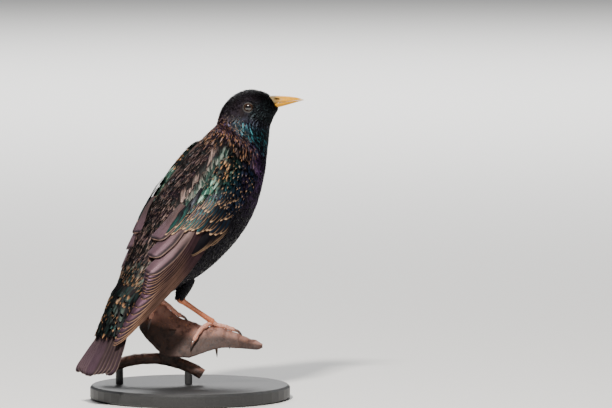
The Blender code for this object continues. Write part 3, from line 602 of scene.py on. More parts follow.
def body_look(at, angle):
    """The colours, spots, streaks and shine of body feathers, by place. The pale shaft streaks are partly
    real buff markings on the mantle and partly painted glints and sheen.
    """
    back = np.cos(angle)
    under, head, rump = step(0.25, -0.35, back), step(9.4, 10.6, at), step(2.6, 1.2, at)
    neck = step(6.9, 8.2, at) * (1 - head)
    trunk = (1 - neck) * (1 - head)
    breast = mix((0.13, 0.055, 0.18), (0.016, 0.014, 0.022), step(6.8, 4.6, at))
    throat = mix((0.09, 0.035, 0.12), (0.014, 0.060, 0.080), step(7.6, 8.8, at))
    cheek = mix((0.026, 0.022, 0.034), (0.026, 0.040, 0.044), step(0.35, -0.3, back))
    gloss = blend(
        (0.016, 0.048, 0.040), ((0.042, 0.024, 0.050), 0.5 + 0.5 * np.sin(at * 9.1 + angle * 5.3)),
        ((0.050, 0.030, 0.030), 0.4), ((0.012, 0.034, 0.030), rump), (breast, under),
        (mix((0.055, 0.028, 0.065), throat, step(0.75, 0.1, back)), neck), (cheek, head))
    belly = step(0.0, 0.3, under) * trunk * step(7.4, 5.8, at)
    flank = step(0.05, 0.4, under) * trunk * step(7.0, 5.6, at)
    warm = np.clip(rump + step(6.0, 7.0, at), 0, 1)
    size = (0.12 + 0.16 * step(5.6, 6.6, at) + 0.06 * rump) * (1 - under) * (1 - head) * (1 - 0.3 * neck)
    # painted glints on the neck's hackles, purple toward the nape and teal toward the throat
    hackle_glint = mix((0.30, 0.17, 0.36), (0.10, 0.42, 0.48), step(0.75, -0.1, back))
    streak_and_glint = 1.0 - 0.35 * rump - 0.75 * head * step(-0.4, 0.3, back) - 0.4 * head
    streak_and_glint = np.clip(streak_and_glint - under * trunk * (0.55 + 0.45 * step(6.4, 5.4, at)), 0, 1)
    comb = np.sin(angle * 44 + 2.4 * np.sin(at * 3.7))
    comb = comb + 0.8 * np.sin(at * 6.3 + 3.0 * np.sin(angle * 8.0))
    return {
        "centre": mix((0.017, 0.013, 0.014), BLACK, under),
        "gloss": gloss,
        "spot": blend((0.30, 0.185, 0.15), ((0.55, 0.27, 0.12), warm), ((0.16, 0.22, 0.21), head)),
        # pale streak colours: buff on the mantle, partly painted glint; painted green glints on the rump,
        # painted purple sheen below, painted glints on hackles and head
        "pale": blend((0.42, 0.29, 0.25), ((0.17, 0.24, 0.20), rump), ((0.40, 0.22, 0.46), under),
                      (hackle_glint, neck), ((0.11, 0.14, 0.15), head)),
        "size": size * (1 - flank),
        "streak_and_glint": streak_and_glint * step(0.4, 1.4, comb) * (1 - flank),
        "metal": 0.92 * (1 - belly),
        "rough": 0.48 + 0.5 * belly,
    }


def paint(look, along, across, chance):
    """Colour and shine of small feathers: dark at the root, glossy toward the edge, a pale tip, and on
    some a pale streak down the shaft that is partly painted glint.
    """
    one = (len(along), 1, 1)
    look = {key: deep(value) for key, value in look.items()}
    tone = 0.2 + 1.4 * chance.uniform(0, 1, one) ** 1.5
    aside = np.abs(across)
    edge = step(0.15, 0.95, aside) * step(0.25, 0.8, along)
    share = np.clip((0.16 + 0.84 * edge) * tone, 0, 1) * step(0.1, 0.6, along)
    # the pale streak down the shaft: partly real buff marking, partly painted glint
    lit = look["streak_and_glint"] * chance.uniform(0.35, 1.1, one)
    line = np.exp(-(across / 0.75) ** 2) * step(0.2, 0.6, along)
    size = look["size"] * np.maximum(chance.uniform(-0.5, 1.25, one), 0)
    spot = step(1 - size, 1 - 0.5 * size, along) * (size > 0.04) * step(1.05, 0.35, aside)
    layers = (look["gloss"], share), (look["pale"], lit * line), (look["spot"], spot * 0.9)
    metal = look["metal"] * (1 - spot)
    rough = look["rough"] - 0.08 * share + 0.2 * spot
    return blend(look["centre"], *layers), np.stack([metal, rough, 0.5 + 0 * metal], -1)


def bake_place(along, turn, length):
    """The place on the bake map of a point on a ringed form."""
    return turn / math.tau * 0.96 + 0.02, along / length * 0.9 + 0.04


def patch(place, along, across):
    """A small patch of the bake map for each feather, at its root's place."""
    u, v = place
    return np.stack([deep(u) + across * 0.0014, deep(v) + (along - 0.5) * 0.0028], -1)


def field(coat, surface, u, v, kind, size, look, place, flow, chance, ground=None):
    """Lays and paints small feathers with their roots at u and v."""
    length, half, lean = size
    points, along, across, side = lay(surface, u, v, kind, length, half, lean, flow, chance, ground)
    coat.add(points, paint(look, along, across, chance), patch(place, along, across), side,
             along * deep(length))


def uneven(chance, count, low, longest, widest, sway):
    """Shares of length and of width, and leans, drawn for each feather."""
    spans = ((low, longest), (low, widest), (-sway, sway))
    return [chance.uniform(*span, count) for span in spans]


def from_eyes(points):
    """How far points are from the nearer eye."""
    eyes = [turned((EYE_AT[0], side * (EYE_AT[1] + 1.9), EYE_AT[2])) for side in (1, -1)]
    return np.min([np.linalg.norm(points - eye, axis=-1) for eye in eyes], 0)


def body_coat(surface, finish, chance):
    """The feathers of the trunk, from the root of the tail to the base of the neck."""
    for name, first, gaps, long, wide in (
            ("coat_back", -0.5, (2.3, 1.0), 10.5, 0.95), ("coat_belly", 0.5, (1.75, 1.3), 8.6, 1.3)):
        coat = Coat(name)
        u, v = scatter(surface, (0.0, 8.3), (first * math.pi, (first + 1) * math.pi), gaps, chance)
        v = v % math.tau
        front = step(4.5, 7.5, u)
        under = step(0.1, -0.5, np.cos(v)) * (1 - front)
        long_share, wide_share, lean = uneven(chance, len(u), 0.85, 1.2, 1.15, 0.13)
        size = (long - 1.4 * front) * long_share, (wide - 0.15 * front + 0.25 * under) * wide_share, lean
        field(coat, surface, u, v, "body", size, body_look(u, v), bake_place(u, v, 15), -1, chance)
        coat.build(finish)


def head_coat(surface, finish, chance):
    """Short feathers on the head, growing into long hackles on the throat and neck."""
    coat = Coat("coat_head")

    def gaps(u):
        pace = float(np.interp(u, (7.6, 9.2, 10.6, 12.5, 15), (1.5, 1.05, 0.9, 0.74, 0.58)))
        return pace, 0.74 * pace

    u, v = scatter(surface, (7.4, 14.75), (0.0, math.tau), gaps, chance)
    away = from_eyes(surface.read(u, v)[0]) - 3.35
    keep = away > 0.15
    u, v, away = u[keep], v[keep], away[keep]
    places = (7.4, 9.3, 10.5, 12, 14.8)
    under = step(0.2, -0.6, np.cos(v))
    long_share, wide_share, lean = uneven(chance, len(u), 0.85, 1.15, 1.15, 0.16)
    length = np.interp(u, places, (6.6, 5.6, 4.2, 2.9, 1.9)) * (1 + 0.3 * under * step(12.5, 10.5, u))
    length = length * long_share
    tip = u - length / surface.scale(u, v)[0]
    crossing = [from_eyes(surface.read(at, v)[0]) < 3.3 for at in (tip, (u + tip) / 2)]
    length = np.where(np.any(crossing, 0), np.maximum(0.8, away * 0.85), length)
    size = length, np.interp(u, places, (1.15, 0.9, 0.75, 0.6, 0.42)) * wide_share, lean
    field(coat, surface, u, v, "head", size, body_look(u, v), bake_place(u, v, 15), -1, chance)
    coat.build(finish)


def thigh_coat(side, finish, chance):
    """The feathers of one shin."""
    coat = Coat("coat_thigh_" + side)
    surface = Surface(thigh_form(side), (0.0, 1.1), (-0.4, math.tau + 0.4), (40, 65))
    u, v = scatter(surface, (0.1, 0.98), (0.0, math.tau), (1.2, 1.0), chance)
    long_share, wide_share, lean = uneven(chance, len(u), 0.85, 1.15, 1.15, 0.15)
    length, half = (np.interp(u, (0, 1), sizes) for sizes in ((5.0, 3.0), (1.2, 0.8)))
    size = length * long_share, half * wide_share, lean
    look = body_look(np.full(len(u), 4.0), np.full(len(u), math.pi))
    field(coat, surface, u, v, "thigh", size, look, bake_place(u, v, 1), 1, chance)
    coat.build(finish, ["thigh_" + side])


def wing_look(behind, across):
    """The wing's small feathers: bands of green, teal and purple gloss with buff tips, and pale streaks
    that are painted glints: pale green in the band, bluish elsewhere, buff and partly real on the upper
    part.
    """
    count = len(behind)
    band = step(9.0, 14.0, across) * step(30.0, 20.0, across)
    upper = step(23.0, 30.0, across)
    front = step(13.0, 7.0, behind) * step(10.0, 15.0, across)
    purple = step(0.3, 1.0, np.sin(behind * 0.23 + across * 0.31))
    comb = np.sin(across * 2.0 + 1.8 * np.sin(behind * 0.23))
    comb = comb + 0.8 * np.sin(behind * 0.5 + 2 * np.sin(across * 0.4))
    streak_and_glint = (0.3 + 0.7 * np.maximum(band, upper)) * step(0.0, 1.2, comb)
    return {
        "centre": np.tile(BLACK, (count, 1)),
        "gloss": blend(
            (0.022, 0.040, 0.085), ((0.03, 0.13, 0.15), step(4.0, 10.0, across)),
            ((0.08, 0.22, 0.16), band), ((0.10, 0.05, 0.14), purple * 0.6 * (1 - 0.5 * band)),
            ((0.045, 0.032, 0.034), upper * 0.8), ((0.020, 0.014, 0.016), front * 0.8)),
        "spot": blend(BUFF, ((0.42, 0.27, 0.20), upper), ((0.60, 0.29, 0.12), front)),
        # pale streak colours: painted green glints in the band, painted bluish glints outside it, buff
        # partly painted glint on the upper part
        "pale": blend((0.07, 0.17, 0.26), ((0.52, 0.80, 0.64), band), ((0.42, 0.29, 0.25), upper)),
        "size": np.where(across < 12.0, 0.20, 0.10) + 0.06 * upper + 0.18 * front,
        "streak_and_glint": streak_and_glint * (1 - 0.8 * front),
        "metal": np.full(count, 0.92),
        "rough": np.full(count, 0.48),
    }


def wing_field(coat, surface, kind, ground, chance, keep):
    """One stretch of a wing's small feathers."""
    first, second, gaps, reach, lengths, halves, turn = WING_FIELDS[kind]
    u, v = scatter(surface, first, second, gaps, chance, keep)
    long_share, wide_share, lean = uneven(chance, len(u), 0.88, 1.12, 1.12, 0.1)
    length, half = (np.interp(u, (0, reach), sizes) for sizes in (lengths, halves))
    size = length * long_share, half * wide_share, turn + lean
    place = ((u + 5) / 145 * 0.95 + 0.02, (v + 10) / 55 * 0.9 + 0.04)
    field(coat, surface, u, v, kind, size, wing_look(u, v), place, 1, chance, ground)


def vanes(surface, root, tip, half, rise, slope, bow, grid, shoulder=0.86):
    """Large feathers on a surface, each lying over the one outside it, and facts about their points."""
    rows, cols = grid
    s = 1 - (1 - np.linspace(0, 1, rows)[None, :, None]) ** 1.45
    t = -1 + 2 * np.linspace(0, 1, cols) ** 1.3
    end = np.clip((s - shoulder) / (1 - shoulder), 0, 1)
    width = np.interp(s, (0, 0.3, 0.62, 0.86), (0.5, 0.8, 1.0, 0.97))
    width = width * np.sqrt(np.maximum(1 - end ** (2.4 if shoulder > 0.8 else 1.9), 0.004))
    length = deep(np.linalg.norm(tip - root, axis=-1))
    half = deep(half)
    side = half * width * t
    behind, across = (deep(root[:, k]) + deep(tip[:, k] - root[:, k]) * s + 0 * side for k in (0, 1))
    height = rise - 1.1 * (1 - np.minimum(1.0, s / 0.3)) - slope * half * (1 + t * width)
    height = height + 0.05 * half * (1 - t ** 2)
    where, normal = surface.read(behind, across - bow * np.sin(np.pi * s) + side)
    facts = {
        "s": s + 0 * side,
        "t": t + 0 * side,
        "side": side,
        "outer": side + half * width,
        "inner": half * width - side,
        "end": (1 - s) * length + 0 * side,
        "along": s * length + 0 * side,
        "half": half,
    }
    return where + normal * height[..., None], facts


def covert_paint(kind, facts, colour, chance):
    """The gloss of a row of coverts, and how much of each is pale."""
    outer, s = facts["outer"], facts["s"]
    order = deep(np.linspace(0, 1, len(s))) + chance.uniform(-0.12, 0.12, (len(s), 1, 1))
    gloss = mix((0.020, 0.060, 0.11), (0.03, 0.13, 0.11), step(0.1, 0.9, order))
    line = step(0.42, 0.15, outer) * step(0.45, 0.8, s) * 0.5
    spot = step(2.2, 1.2, facts["end"] + 0.9 * np.abs(facts["side"] + 0.25 * facts["half"]))
    if kind == "hand_covert":
        gloss, spot = (0.016, 0.015, 0.020), 0
    if kind == "middle_covert":
        gloss = mix(gloss, (0.13, 0.075, 0.12), 0.8 * step(0.6, 0.75, order) * step(1.0, 0.85, order))
    web = step(0.3, 1.1, outer) * step(4.2, 2.0, outer)
    return mix(colour, gloss, 0.75 * web * step(0.2, 0.6, s)), np.clip(spot + line, 0, 1)


def flight_paint(kind, facts, chance):
    """Colour and shine of the large feathers, by distance from their edges and tips."""
    outer, end, s = facts["outer"], facts["end"], facts["s"]
    covert = kind.endswith("covert")
    base, rim, metal, rough, far, close, strength = FLIGHT_LOOKS["covert" if covert else kind]
    tone = chance.uniform(0.8, 1.2, (len(s), 1, 1)) * (1 + 0.30 * np.exp(-(facts["side"] / 0.22) ** 2))
    colour = np.array(base) * tone[..., None]
    near = np.minimum(outer, end * 1.15)
    band = end if kind == "tail" else near
    dark = step(*far, band) * step(*close, band) * strength
    if covert:
        colour, pale = covert_paint(kind, facts, colour, chance)
    else:
        if kind == "tail":
            near = np.minimum(np.minimum(outer, facts["inner"]), end * 1.1)
        pale = step(0.38, 0.18, near) * step(0.25, 0.5, s) * (0.35 + 0.65 * step(0.7, 0.97, s))
        colour = mix(colour, np.array(MAUVE) * 0.75, 0.28 * step(1.0, 3.0, outer) * step(0.2, 0.9, s))
    colour = blend(colour, ((0.010, 0.008, 0.010), 0.9 * dark * step(0.15, 0.5, s)), (rim, 0.9 * pale))
    metal = metal * (1 - pale)
    return colour, np.stack([metal, rough + 0.15 * pale, 1.0 + 0 * metal], -1)


def atlas(facts, first, total):
    """A patch of its own on the bake map for each large feather."""
    side = math.ceil(math.sqrt(total))
    number = first + np.arange(len(facts["s"]))
    u = deep(number % side) + 0.5 + facts["t"] * 0.44
    v = deep(number // side) + 0.06 + facts["s"] * 0.88
    return np.stack([u, v], -1) / side


def large_feathers(coat, surface, chance):
    """The flight feathers and large coverts of a wing, tier by tier."""
    first = 0
    for name, number, root_a, root_b, tip_a, tip_b, halves, rise, slope, crowd in WING_TIERS:
        share = np.linspace(0, 1, number)
        root = root_a + np.outer(share, np.subtract(root_b, root_a))
        tip = tip_a + np.stack([share ** crowd, share], -1) * np.subtract(tip_b, tip_a)
        tip = tip + chance.uniform(-0.45, 0.45, tip.shape) * (1.0, 0.35)
        lift = rise + chance.uniform(-0.05, 0.05, (number, 1, 1))
        bow, shoulder = WING_BOW, 0.86
        if name.endswith("covert"):
            tip = tip + chance.uniform(-2.8, 2.8, tip.shape) * (1.0, 0.12)
            bow, shoulder = 0.3, 0.5
        half = np.interp(share, (0, 1), halves)
        points, facts = vanes(surface, root, tip, half, lift, slope, bow, (26, 13), shoulder)
        coat.add(points, flight_paint(name, facts, chance), atlas(facts, first, ATLAS_PATCHES),
                 facts["side"], facts["along"])
        first += number


def wing_bed(surface, ground, finish):
    """The dark plate under a wing's feathers."""
    side = "left" if surface.left else "right"
    rings, cols = [], 9
    for behind, low, high in BED_ROWS:
        across = np.linspace(low, min(high, 24) if surface.left else high, cols)
        top, normal = surface.read(np.full(cols, float(behind)), across)
        top = ground.settled(top - normal * 0.6, across + 2.0, surface.left)
        thick = 4.0 - 2.6 * max(behind, 0) / WING_LENGTH
        rings.append(np.vstack([top - normal * 0.7, (top - normal * thick)[::-1]]))
    j = np.arange(cols - 1)
    ends = [base + np.stack([j, j + 1, 2 * cols - 2 - j, 2 * cols - 1 - j], -1)
            for base in (0, (len(rings) - 1) * 2 * cols)]
    faces = np.vstack([ring_faces(len(rings), 2 * cols), *ends])
    item = mesh_object("wing_bed_" + side, np.vstack(rings), faces)
    settle(item, finish, ["wing_" + side])


def scapulars(coat, ground, wing, chance):
    """Feathers rooted on the back, whose tips lie over a wing's upper edge and close the gap to it."""
    count, rows, cols = 700, 9, 5
    behind = chance.uniform(4.0, 52.0, count)
    across = np.interp(behind, (-3, 8, 40, 52), (17.0, 25.0, 26.0, 24.0))
    across = across + chance.uniform(-4.0, 3.5, count)
    end, end_normal = wing.read(behind, across)
    end = ground.settled(end + end_normal * chance.uniform(2.2, 2.8, (count, 1)), across, wing.left)
    down, out = wing_axes(wing.left)[:2]
    length = chance.uniform(9.0, 13.0, (count, 1))
    nearest = ground.nearest(end - down * length - out * chance.uniform(3.0, 8.0, (count, 1)))
    start = ground.places[nearest] - ground.normals[nearest] * 0.4
    normal = unit(ground.normals[nearest] + end_normal)
    middle = (start + end) / 2 + normal * 1.1
    s = np.linspace(0, 1, rows)[None, :, None]
    t = np.linspace(-1, 1, cols)
    spine = (1 - s) ** 2 * start[:, None] + 2 * s * (1 - s) * middle[:, None] + s ** 2 * end[:, None]
    across_spine = unit(np.cross(unit(np.gradient(spine, axis=1)), normal[:, None]))
    width = deep(chance.uniform(0.85, 1.25, (count, 1))[:, 0]) * feather_width(s, 0.9, 0.45)
    side = width * t
    points = spine[:, :, None] + across_spine[:, :, None] * side[..., None]
    points = points - normal[:, None, None] * (0.14 * width * t ** 2)[..., None]
    look = body_look(np.full(count, 4.5), np.full(count, 0.4))
    band = step(26.0, 19.0, across) * 0.7
    comb = np.sin(across * 2.0 + 1.8 * np.sin(behind * 0.23)) + chance.uniform(-0.5, 0.8, count)
    look["streak_and_glint"] = step(0.0, 1.2, comb)
    # painted green glints over the band: the streaks and their pale green colour
    look["gloss"] = mix(look["gloss"], (0.06, 0.17, 0.125), band)
    look["pale"] = mix(look["pale"], (0.46, 0.68, 0.55), band)
    along = s + 0 * side
    bake = patch((behind / 160 + 0.1, across / 60 + 0.2), along, 0 * along)
    coat.add(points, paint(look, along, t + 0 * side, chance), bake, side, along * deep(length[:, 0]))


def build_wing(left, ground, plumage, flight, bed, chance):
    """One folded wing: its plate, flight feathers, coverts and scapulars."""
    side = "left" if left else "right"
    surface = Surface(wing_form(left), (-3.0, 134.0), (-9.0, 42.0), (275, 121), left)
    wing_bed(surface, ground, bed)
    remiges = Coat("flight_feathers_" + side)
    large_feathers(remiges, surface, chance)
    remiges.build(flight)
    coat = Coat("coat_wing_" + side)
    kept = {
        "lesser": lambda u, v: (v < 2 + u * 1.1) | (u < 22),
        "scapular": lambda u, v: v > 14 + 0.24 * np.maximum(u - 8, 0),
    }
    for kind, keep in kept.items():
        wing_field(coat, surface, kind, ground, chance, keep)
    scapulars(coat, ground, surface, chance)
    coat.build(plumage)


class Flat:
    """A plane for one tail feather, read like a surface: down the tail and across it."""

    def __init__(self, turn, drop):
        self.down, self.left, self.up = sloped(TAIL_PITCH, turn)
        self.drop = drop

    def read(self, along, across):
        """Points with a slight sag to each side, and the direction off the plane."""
        point = TAIL_ROOT + self.down * along[..., None] + self.left * across[..., None]
        return point + self.up * (self.drop - 0.012 * across ** 2)[..., None], self.up + 0 * point


def build_tail(plumage, flight, chance):
    """Twelve tail feathers in a narrow fan, with coverts over and under their roots."""
    tail = Coat("tail_feathers")
    half = np.array([TAIL_FEATHER_WIDTH / 2])
    for number in range(TAIL_FEATHERS):
        late, rank = divmod(number, TAIL_FEATHERS // 2)
        under = rank + 0.5 * late
        turn = (-1 if late else 1) * (0.5 + rank) * TAIL_SPREAD / (TAIL_FEATHERS - 1)
        plane = Flat(turn, -FEATHER_STEP * under - 0.035 * under * under)
        length = TAIL_LENGTH + (0.8 if rank == 5 else 1.6 - 0.5 * rank) + chance.uniform(-0.5, 0.3)
        root, tip = np.array([[18.0, 0.0]]), np.array([[length, 0.0]])
        points, facts = vanes(plane, root, tip, half, 0.15, 0.0, 0.0, (30, 15))
        tail.add(points, flight_paint("tail", facts, chance), atlas(facts, number, TAIL_FEATHERS),
                 facts["side"], facts["along"])
    tail.build(flight, ["tail"])
    coat = Coat("coat_tail")
    surface = Surface(tail_form, (4.0, 48.0), (-0.4, math.tau + 0.4), (60, 97))
    u, v = scatter(surface, (4.0, 31.0), (0.0, math.tau), (3.2, 2.4), chance)
    over = np.cos(v) > 0
    long_share, wide_share, lean = uneven(chance, len(u), 0.88, 1.12, 1.12, 0.08)
    look = body_look(np.full(len(u), 0.5), v)
    look["size"] = np.where(over, 0.13, 0.12)
    look["gloss"] = mix(look["gloss"], (0.045, 0.040, 0.045), np.where(over, 0.1, 0.7))
    look["streak_and_glint"] = look["streak_and_glint"] * 0.5
    size = np.where(over, 13.0, 12.0) * long_share, 2.4 * wide_share, lean
    field(coat, surface, u, v, "tail", size, look, bake_place(u, v, 50), 1, chance)
    coat.build(plumage)


def body_skin(surface, finish):
    """One closed skin for torso, neck and head, inside the solids by the depth of the coat."""
    rows, cols = 150, 96
    turns = np.linspace(0, math.tau, cols, endpoint=False)
    u, v = np.meshgrid(np.linspace(0.0, 14.97, rows), turns, indexing="ij")
    where, normal = surface.read(u, v)
    depth = np.interp(u, (0, 8, 9.6, 14, 15), (1.0, 0.95, 0.6, 0.45, 0.3))
    depth = depth + 1.3 * step(4.4, 3.0, from_eyes(where))
    points = where - normal * depth[..., None]
    points = np.vstack([points.reshape(-1, 3), points[0].mean(0), points[-1].mean(0)])
    j = np.arange(0, cols, 2)
    turn, last, hub = (j + 2) % cols, (rows - 1) * cols, rows * cols + 0 * j
    ends = [(hub, turn, j + 1, j), (hub + 1, last + j, last + j + 1, last + turn)]
    look = body_look(u.ravel(), v.ravel())
    tint = mix(look["centre"], look["gloss"], 0.25)
    bake = np.stack(bake_place(u.ravel(), v.ravel(), 15), -1)
    tint, bake = (np.vstack([values, values[:1], values[-1:]]) for values in (tint, bake))
    colours = {"tint": tint, "shine": np.tile((0.1, 0.7, 0.3), (len(tint), 1))}
    faces = np.vstack([ring_faces(rows, cols), *(np.stack(end, -1) for end in ends)])
    item = mesh_object("skin", points, faces, {"OFBake": bake, "vane": bake}, colours)
    settle(item, finish, ["torso", "neck", "head"])


def tube(path, radii, sides):
    """Rings of points round a path and square to it."""
    path = np.asarray(path, float)
    ahead = unit(np.gradient(path, axis=0))
    side = unit(np.cross(ahead[0], (0.31, 0.52, 0.79)))
    angle = np.linspace(0, math.tau, sides, endpoint=False)
    rings = []
    for point, forward, radius in zip(path, ahead, radii):
        side = unit(side - forward * (side @ forward))
        ring = np.outer(np.cos(angle), side) + np.outer(np.sin(angle), np.cross(forward, side))
        rings.append(point + ring * radius)
    return np.array(rings)


def closed(name, rings, tint):
    """A closed mesh through equal rings of points, its ends drawn to a point."""
    tint = np.broadcast_to(tint, rings.shape)
    ends = [np.broadcast_to(ring.mean(0), ring.shape)[None] for ring in (rings[0], rings[-1])]
    rings = np.concatenate([ends[0], rings, ends[1]])
    tint = np.concatenate([tint[:1], tint, tint[-1:]])
    rows, cols = rings.shape[:2]
    bake = np.stack(np.meshgrid(np.linspace(0, 1, cols), np.linspace(0, 1, rows)), -1)
    return weld(mesh_object(name, rings, ring_faces(rows, cols), {"OFBake": bake}, {"tint": tint}))


def weld(item):
    """Joins points that lie together and turns all faces outward."""
    work = bmesh.new()
    work.from_mesh(item.data)
    bmesh.ops.remove_doubles(work, verts=work.verts, dist=1e-7)
    bmesh.ops.recalc_face_normals(work, faces=work.faces)
    work.to_mesh(item.data)
    work.free()
    item.data.shade_smooth()
    return item


def curve_through(points, steps):
    """A smooth path through a few points."""
    return smooth(points, np.linspace(0, len(points) - 1, steps))


def ripple(points, size, depth, seed):
    """Smooth uneven movement for points, from a few fixed waves."""
    chance = np.random.default_rng(seed)
    points = np.asarray(points, float)
    total = np.zeros(points.shape[:-1])
    for _ in range(9):
        wave = unit(chance.normal(size=3)) * chance.uniform(0.6, 2.2) / size
        total = total + np.sin(points @ wave * 6.28 + chance.uniform(0, 6.28)) / 3.0
    return total * depth


def build_bill(finish):
    """Upper and lower halves, with a nostril in its groove and a soft ridge along the top."""
    rows = smooth(BILL_ROWS, np.linspace(0, len(BILL_ROWS) - 1, 60))
    place, top, mouth, bottom, half = (rows[:, k, None] for k in range(5))
    turns = np.radians(np.linspace(0, 180, 25))
    flat = np.linspace(-1, 1, 9)[1:-1]
    y = half * np.concatenate([power(np.cos(turns), 0.82), flat])
    x = place + 0 * y
    for upper in (True, False):
        edge = mouth + (0.12 if upper else -0.12)
        z = edge + ((top if upper else bottom) - edge) * np.concatenate([np.sin(turns) ** 0.95, 0 * flat])
        pit, inset, brow = 0 * x, 1.0, 0.0
        if upper:
            aside = np.abs(y) > 0.9
            gap = np.sqrt(((x - 64.0) / 1.7) ** 2 + ((z - 159.2 - 0.12 * (64.0 - x)) / 0.62) ** 2)
            pit = np.clip(1 - gap, 0, 1) ** 0.5 * aside
            inset = 1 - 0.30 * pit - 0.10 * np.exp(-((z - 159.0) / 0.5) ** 2) * step(68, 62, x) * aside
            brow = step(64.8, 62.2, x) * 0.9
            base = step(69.5, 61.5, x) * (0.45 + 0.55 * step(160.2, 157.5, z))
        else:
            base = step(64.5, 57.0, x)
        # the bill's own yellow with its dark horn base, then a painted highlight that pales the tip, a
        # painted highlight along the top of the upper half, and painted shade along the mouth line and in
        # the nostril
        tint = blend(
            (0.72, 0.32, 0.0), ((0.13, 0.105, 0.05), np.maximum(base, brow)),
            ((0.86, 0.70, 0.42), step(75.5, 78.8, x) * 0.85),
            ((0.90, 0.42, 0.05), step(159.4, 161, z) * 0.3 * step(64, 68, x)),
            ((0.45, 0.22, 0.05), np.exp(-((z - edge) / 0.35) ** 2) * 0.35),
            ((0.01, 0.008, 0.006), step(0.1, 0.45, pit)))
        rings = turned(np.stack([x, y * inset, z], -1))
        settle(closed("bill_top" if upper else "bill_under", rings, tint), finish,
               ["bill_upper" if upper else "bill_lower"])


def build_eye(side, gloss, rim):
    """A dark ball with a near-black pupil, inside a thin ring of lid."""
    name = "left" if side > 0 else "right"
    centre = turned((EYE_AT[0], side * EYE_AT[1], EYE_AT[2]))
    out = turned((NECK_X, side * 1.0, 0)) - turned((NECK_X, 0, 0))
    ahead = unit(turned((1, 0, 0)) - turned((0, 0, 0)))
    tilt = np.linspace(0.02, math.pi - 0.02, 40)[:, None, None]
    angle = np.linspace(0, math.tau, 48, endpoint=False)[:, None]
    ring = np.cos(angle) * ahead + np.sin(angle) * np.cross(out, ahead)
    points = centre + EYE_RADIUS * 0.985 * (np.cos(tilt) * out + np.sin(tilt) * ring)
    iris = mix((0.002, 0.002, 0.003), (0.035, 0.016, 0.008), step(0.50, 0.60, tilt[..., 0]))
    item = closed("eyeball_" + name, points, iris * (1 - 0.6 * step(0.80, 1.0, tilt)))
    settle(item, gloss, ["eye_" + name])
    rows, cols = 64, 12
    angle = np.linspace(0, math.tau, rows, endpoint=False)[:, None]
    wide, high = LID_RADIUS * 1.05 * np.cos(angle), LID_RADIUS * 0.94 * np.sin(angle)
    turn = np.linspace(0, math.tau, cols, endpoint=False)
    depth = 0.42 + 0.05 * np.sin(angle * 23) + 0.1 * (np.sin(angle) < -0.2)
    spread = 1 + 0.8 * depth * np.cos(turn) / np.hypot(wide, high)
    lift = EYE_AT[1] + 1.9 - 0.045 * wide + depth * np.sin(turn)
    points = turned(np.stack([EYE_AT[0] + wide * spread, side * lift, EYE_AT[2] + high * spread], -1))
    bake = np.stack(np.meshgrid(np.linspace(0, 1, cols), np.linspace(0, 1, rows)), -1)
    lid = mesh_object("lid_" + name, points, ring_faces(rows, cols, True), {"OFBake": bake})
    settle(weld(lid), rim)


def perch_point(place, depth, height):
    """A point in the perch's own plane: along it, away behind it, and up."""
    place, depth, height = np.broadcast_arrays(*(np.asarray(q, float) for q in (place, depth, height)))
    turn = math.radians(TURN)
    x = place * math.cos(turn) + depth * math.sin(turn)
    y = -place * math.sin(turn) + depth * math.cos(turn)
    return np.stack([x, y, height], -1)


def bar_height(place):
    """The height of the bar's middle line, which follows an arc."""
    radius, (middle, top) = BAR_ARC, BAR_TOP
    return top - radius + np.sqrt(radius ** 2 - (place - middle) ** 2)


def forged(name, rings, waves, finish, nodes=(), shade=1.0):
    """A piece of iron, uneven with hammer marks and rust, with painted light where it faces up and
    painted shade where it faces down.
    """
    away = unit(rings - rings.mean(1, keepdims=True))
    rings = rings + away * sum(ripple(rings, *wave) for wave in waves)[..., None]
    # painted light and shade: paler on faces turned up, darker on faces turned down, all times shade
    tint = shade * (0.25 + 1.15 * step(0.0, 0.9, away[..., 2]))
    settle(closed(name, rings, tint[..., None]), finish, nodes)


def mirrored(points):
    """Points of an outline, followed by their mirror images in reverse, without the middle one twice."""
    return points + [(-depth, height) for depth, height in points[-2::-1]]


def build_perch(finish):
    """The forged leaf on its stem, and the curved bar, uneven with rust."""
    rings = []
    for place, ridge, low, half in smooth(LEAF_ROWS, np.linspace(0, len(LEAF_ROWS) - 1, 150)):
        drop = ridge - low
        under = ridge - min(LEAF_WALL, drop * 0.8)
        bend = (low + under) / 2 + 0.05 * drop
        top = [(half * d, ridge - drop * f) for d, f in LEAF_TOP]
        hollow = [(0.62 * half, low + 0.1 * drop), (0.33 * half, bend), (0.0, under)]
        ring = np.array(mirrored(top) + mirrored(hollow))
        ring = smooth(np.vstack([ring, ring[:1]]), np.linspace(0, len(ring), 73)[:-1])
        rings.append(perch_point(place, ring[:, 0], ring[:, 1]))
    forged("iron_leaf", np.array(rings), ((7.0, 0.16, 3), (1.9, 0.06, 4)), finish, ["perch_leaf"])
    height = np.array((7.0, 9.0, 13.0, 18.0, 23.0, 27.0))
    path = curve_through(perch_point(np.interp(height, (9, 16, 26), (-9.0, -8.6, -8.0)), 0.0, height), 40)
    radii = np.interp(np.linspace(0, 1, 40), (0, 0.3, 0.6, 1), (5.2, 6.2, 6.3, 5.4))
    forged("iron_stem", tube(path, radii, 40), ((6.0, 0.2, 5), (1.8, 0.06, 6)), finish, (), 0.8)
    place = np.linspace(*BAR_ENDS, 150)
    bar = tube(perch_point(place, 0.0, bar_height(place)), np.full(150, BAR_RADIUS), 40)
    forged("iron_bar", bar, ((6.0, 0.13, 7), (1.7, 0.05, 8)), finish, ["perch_bar"])


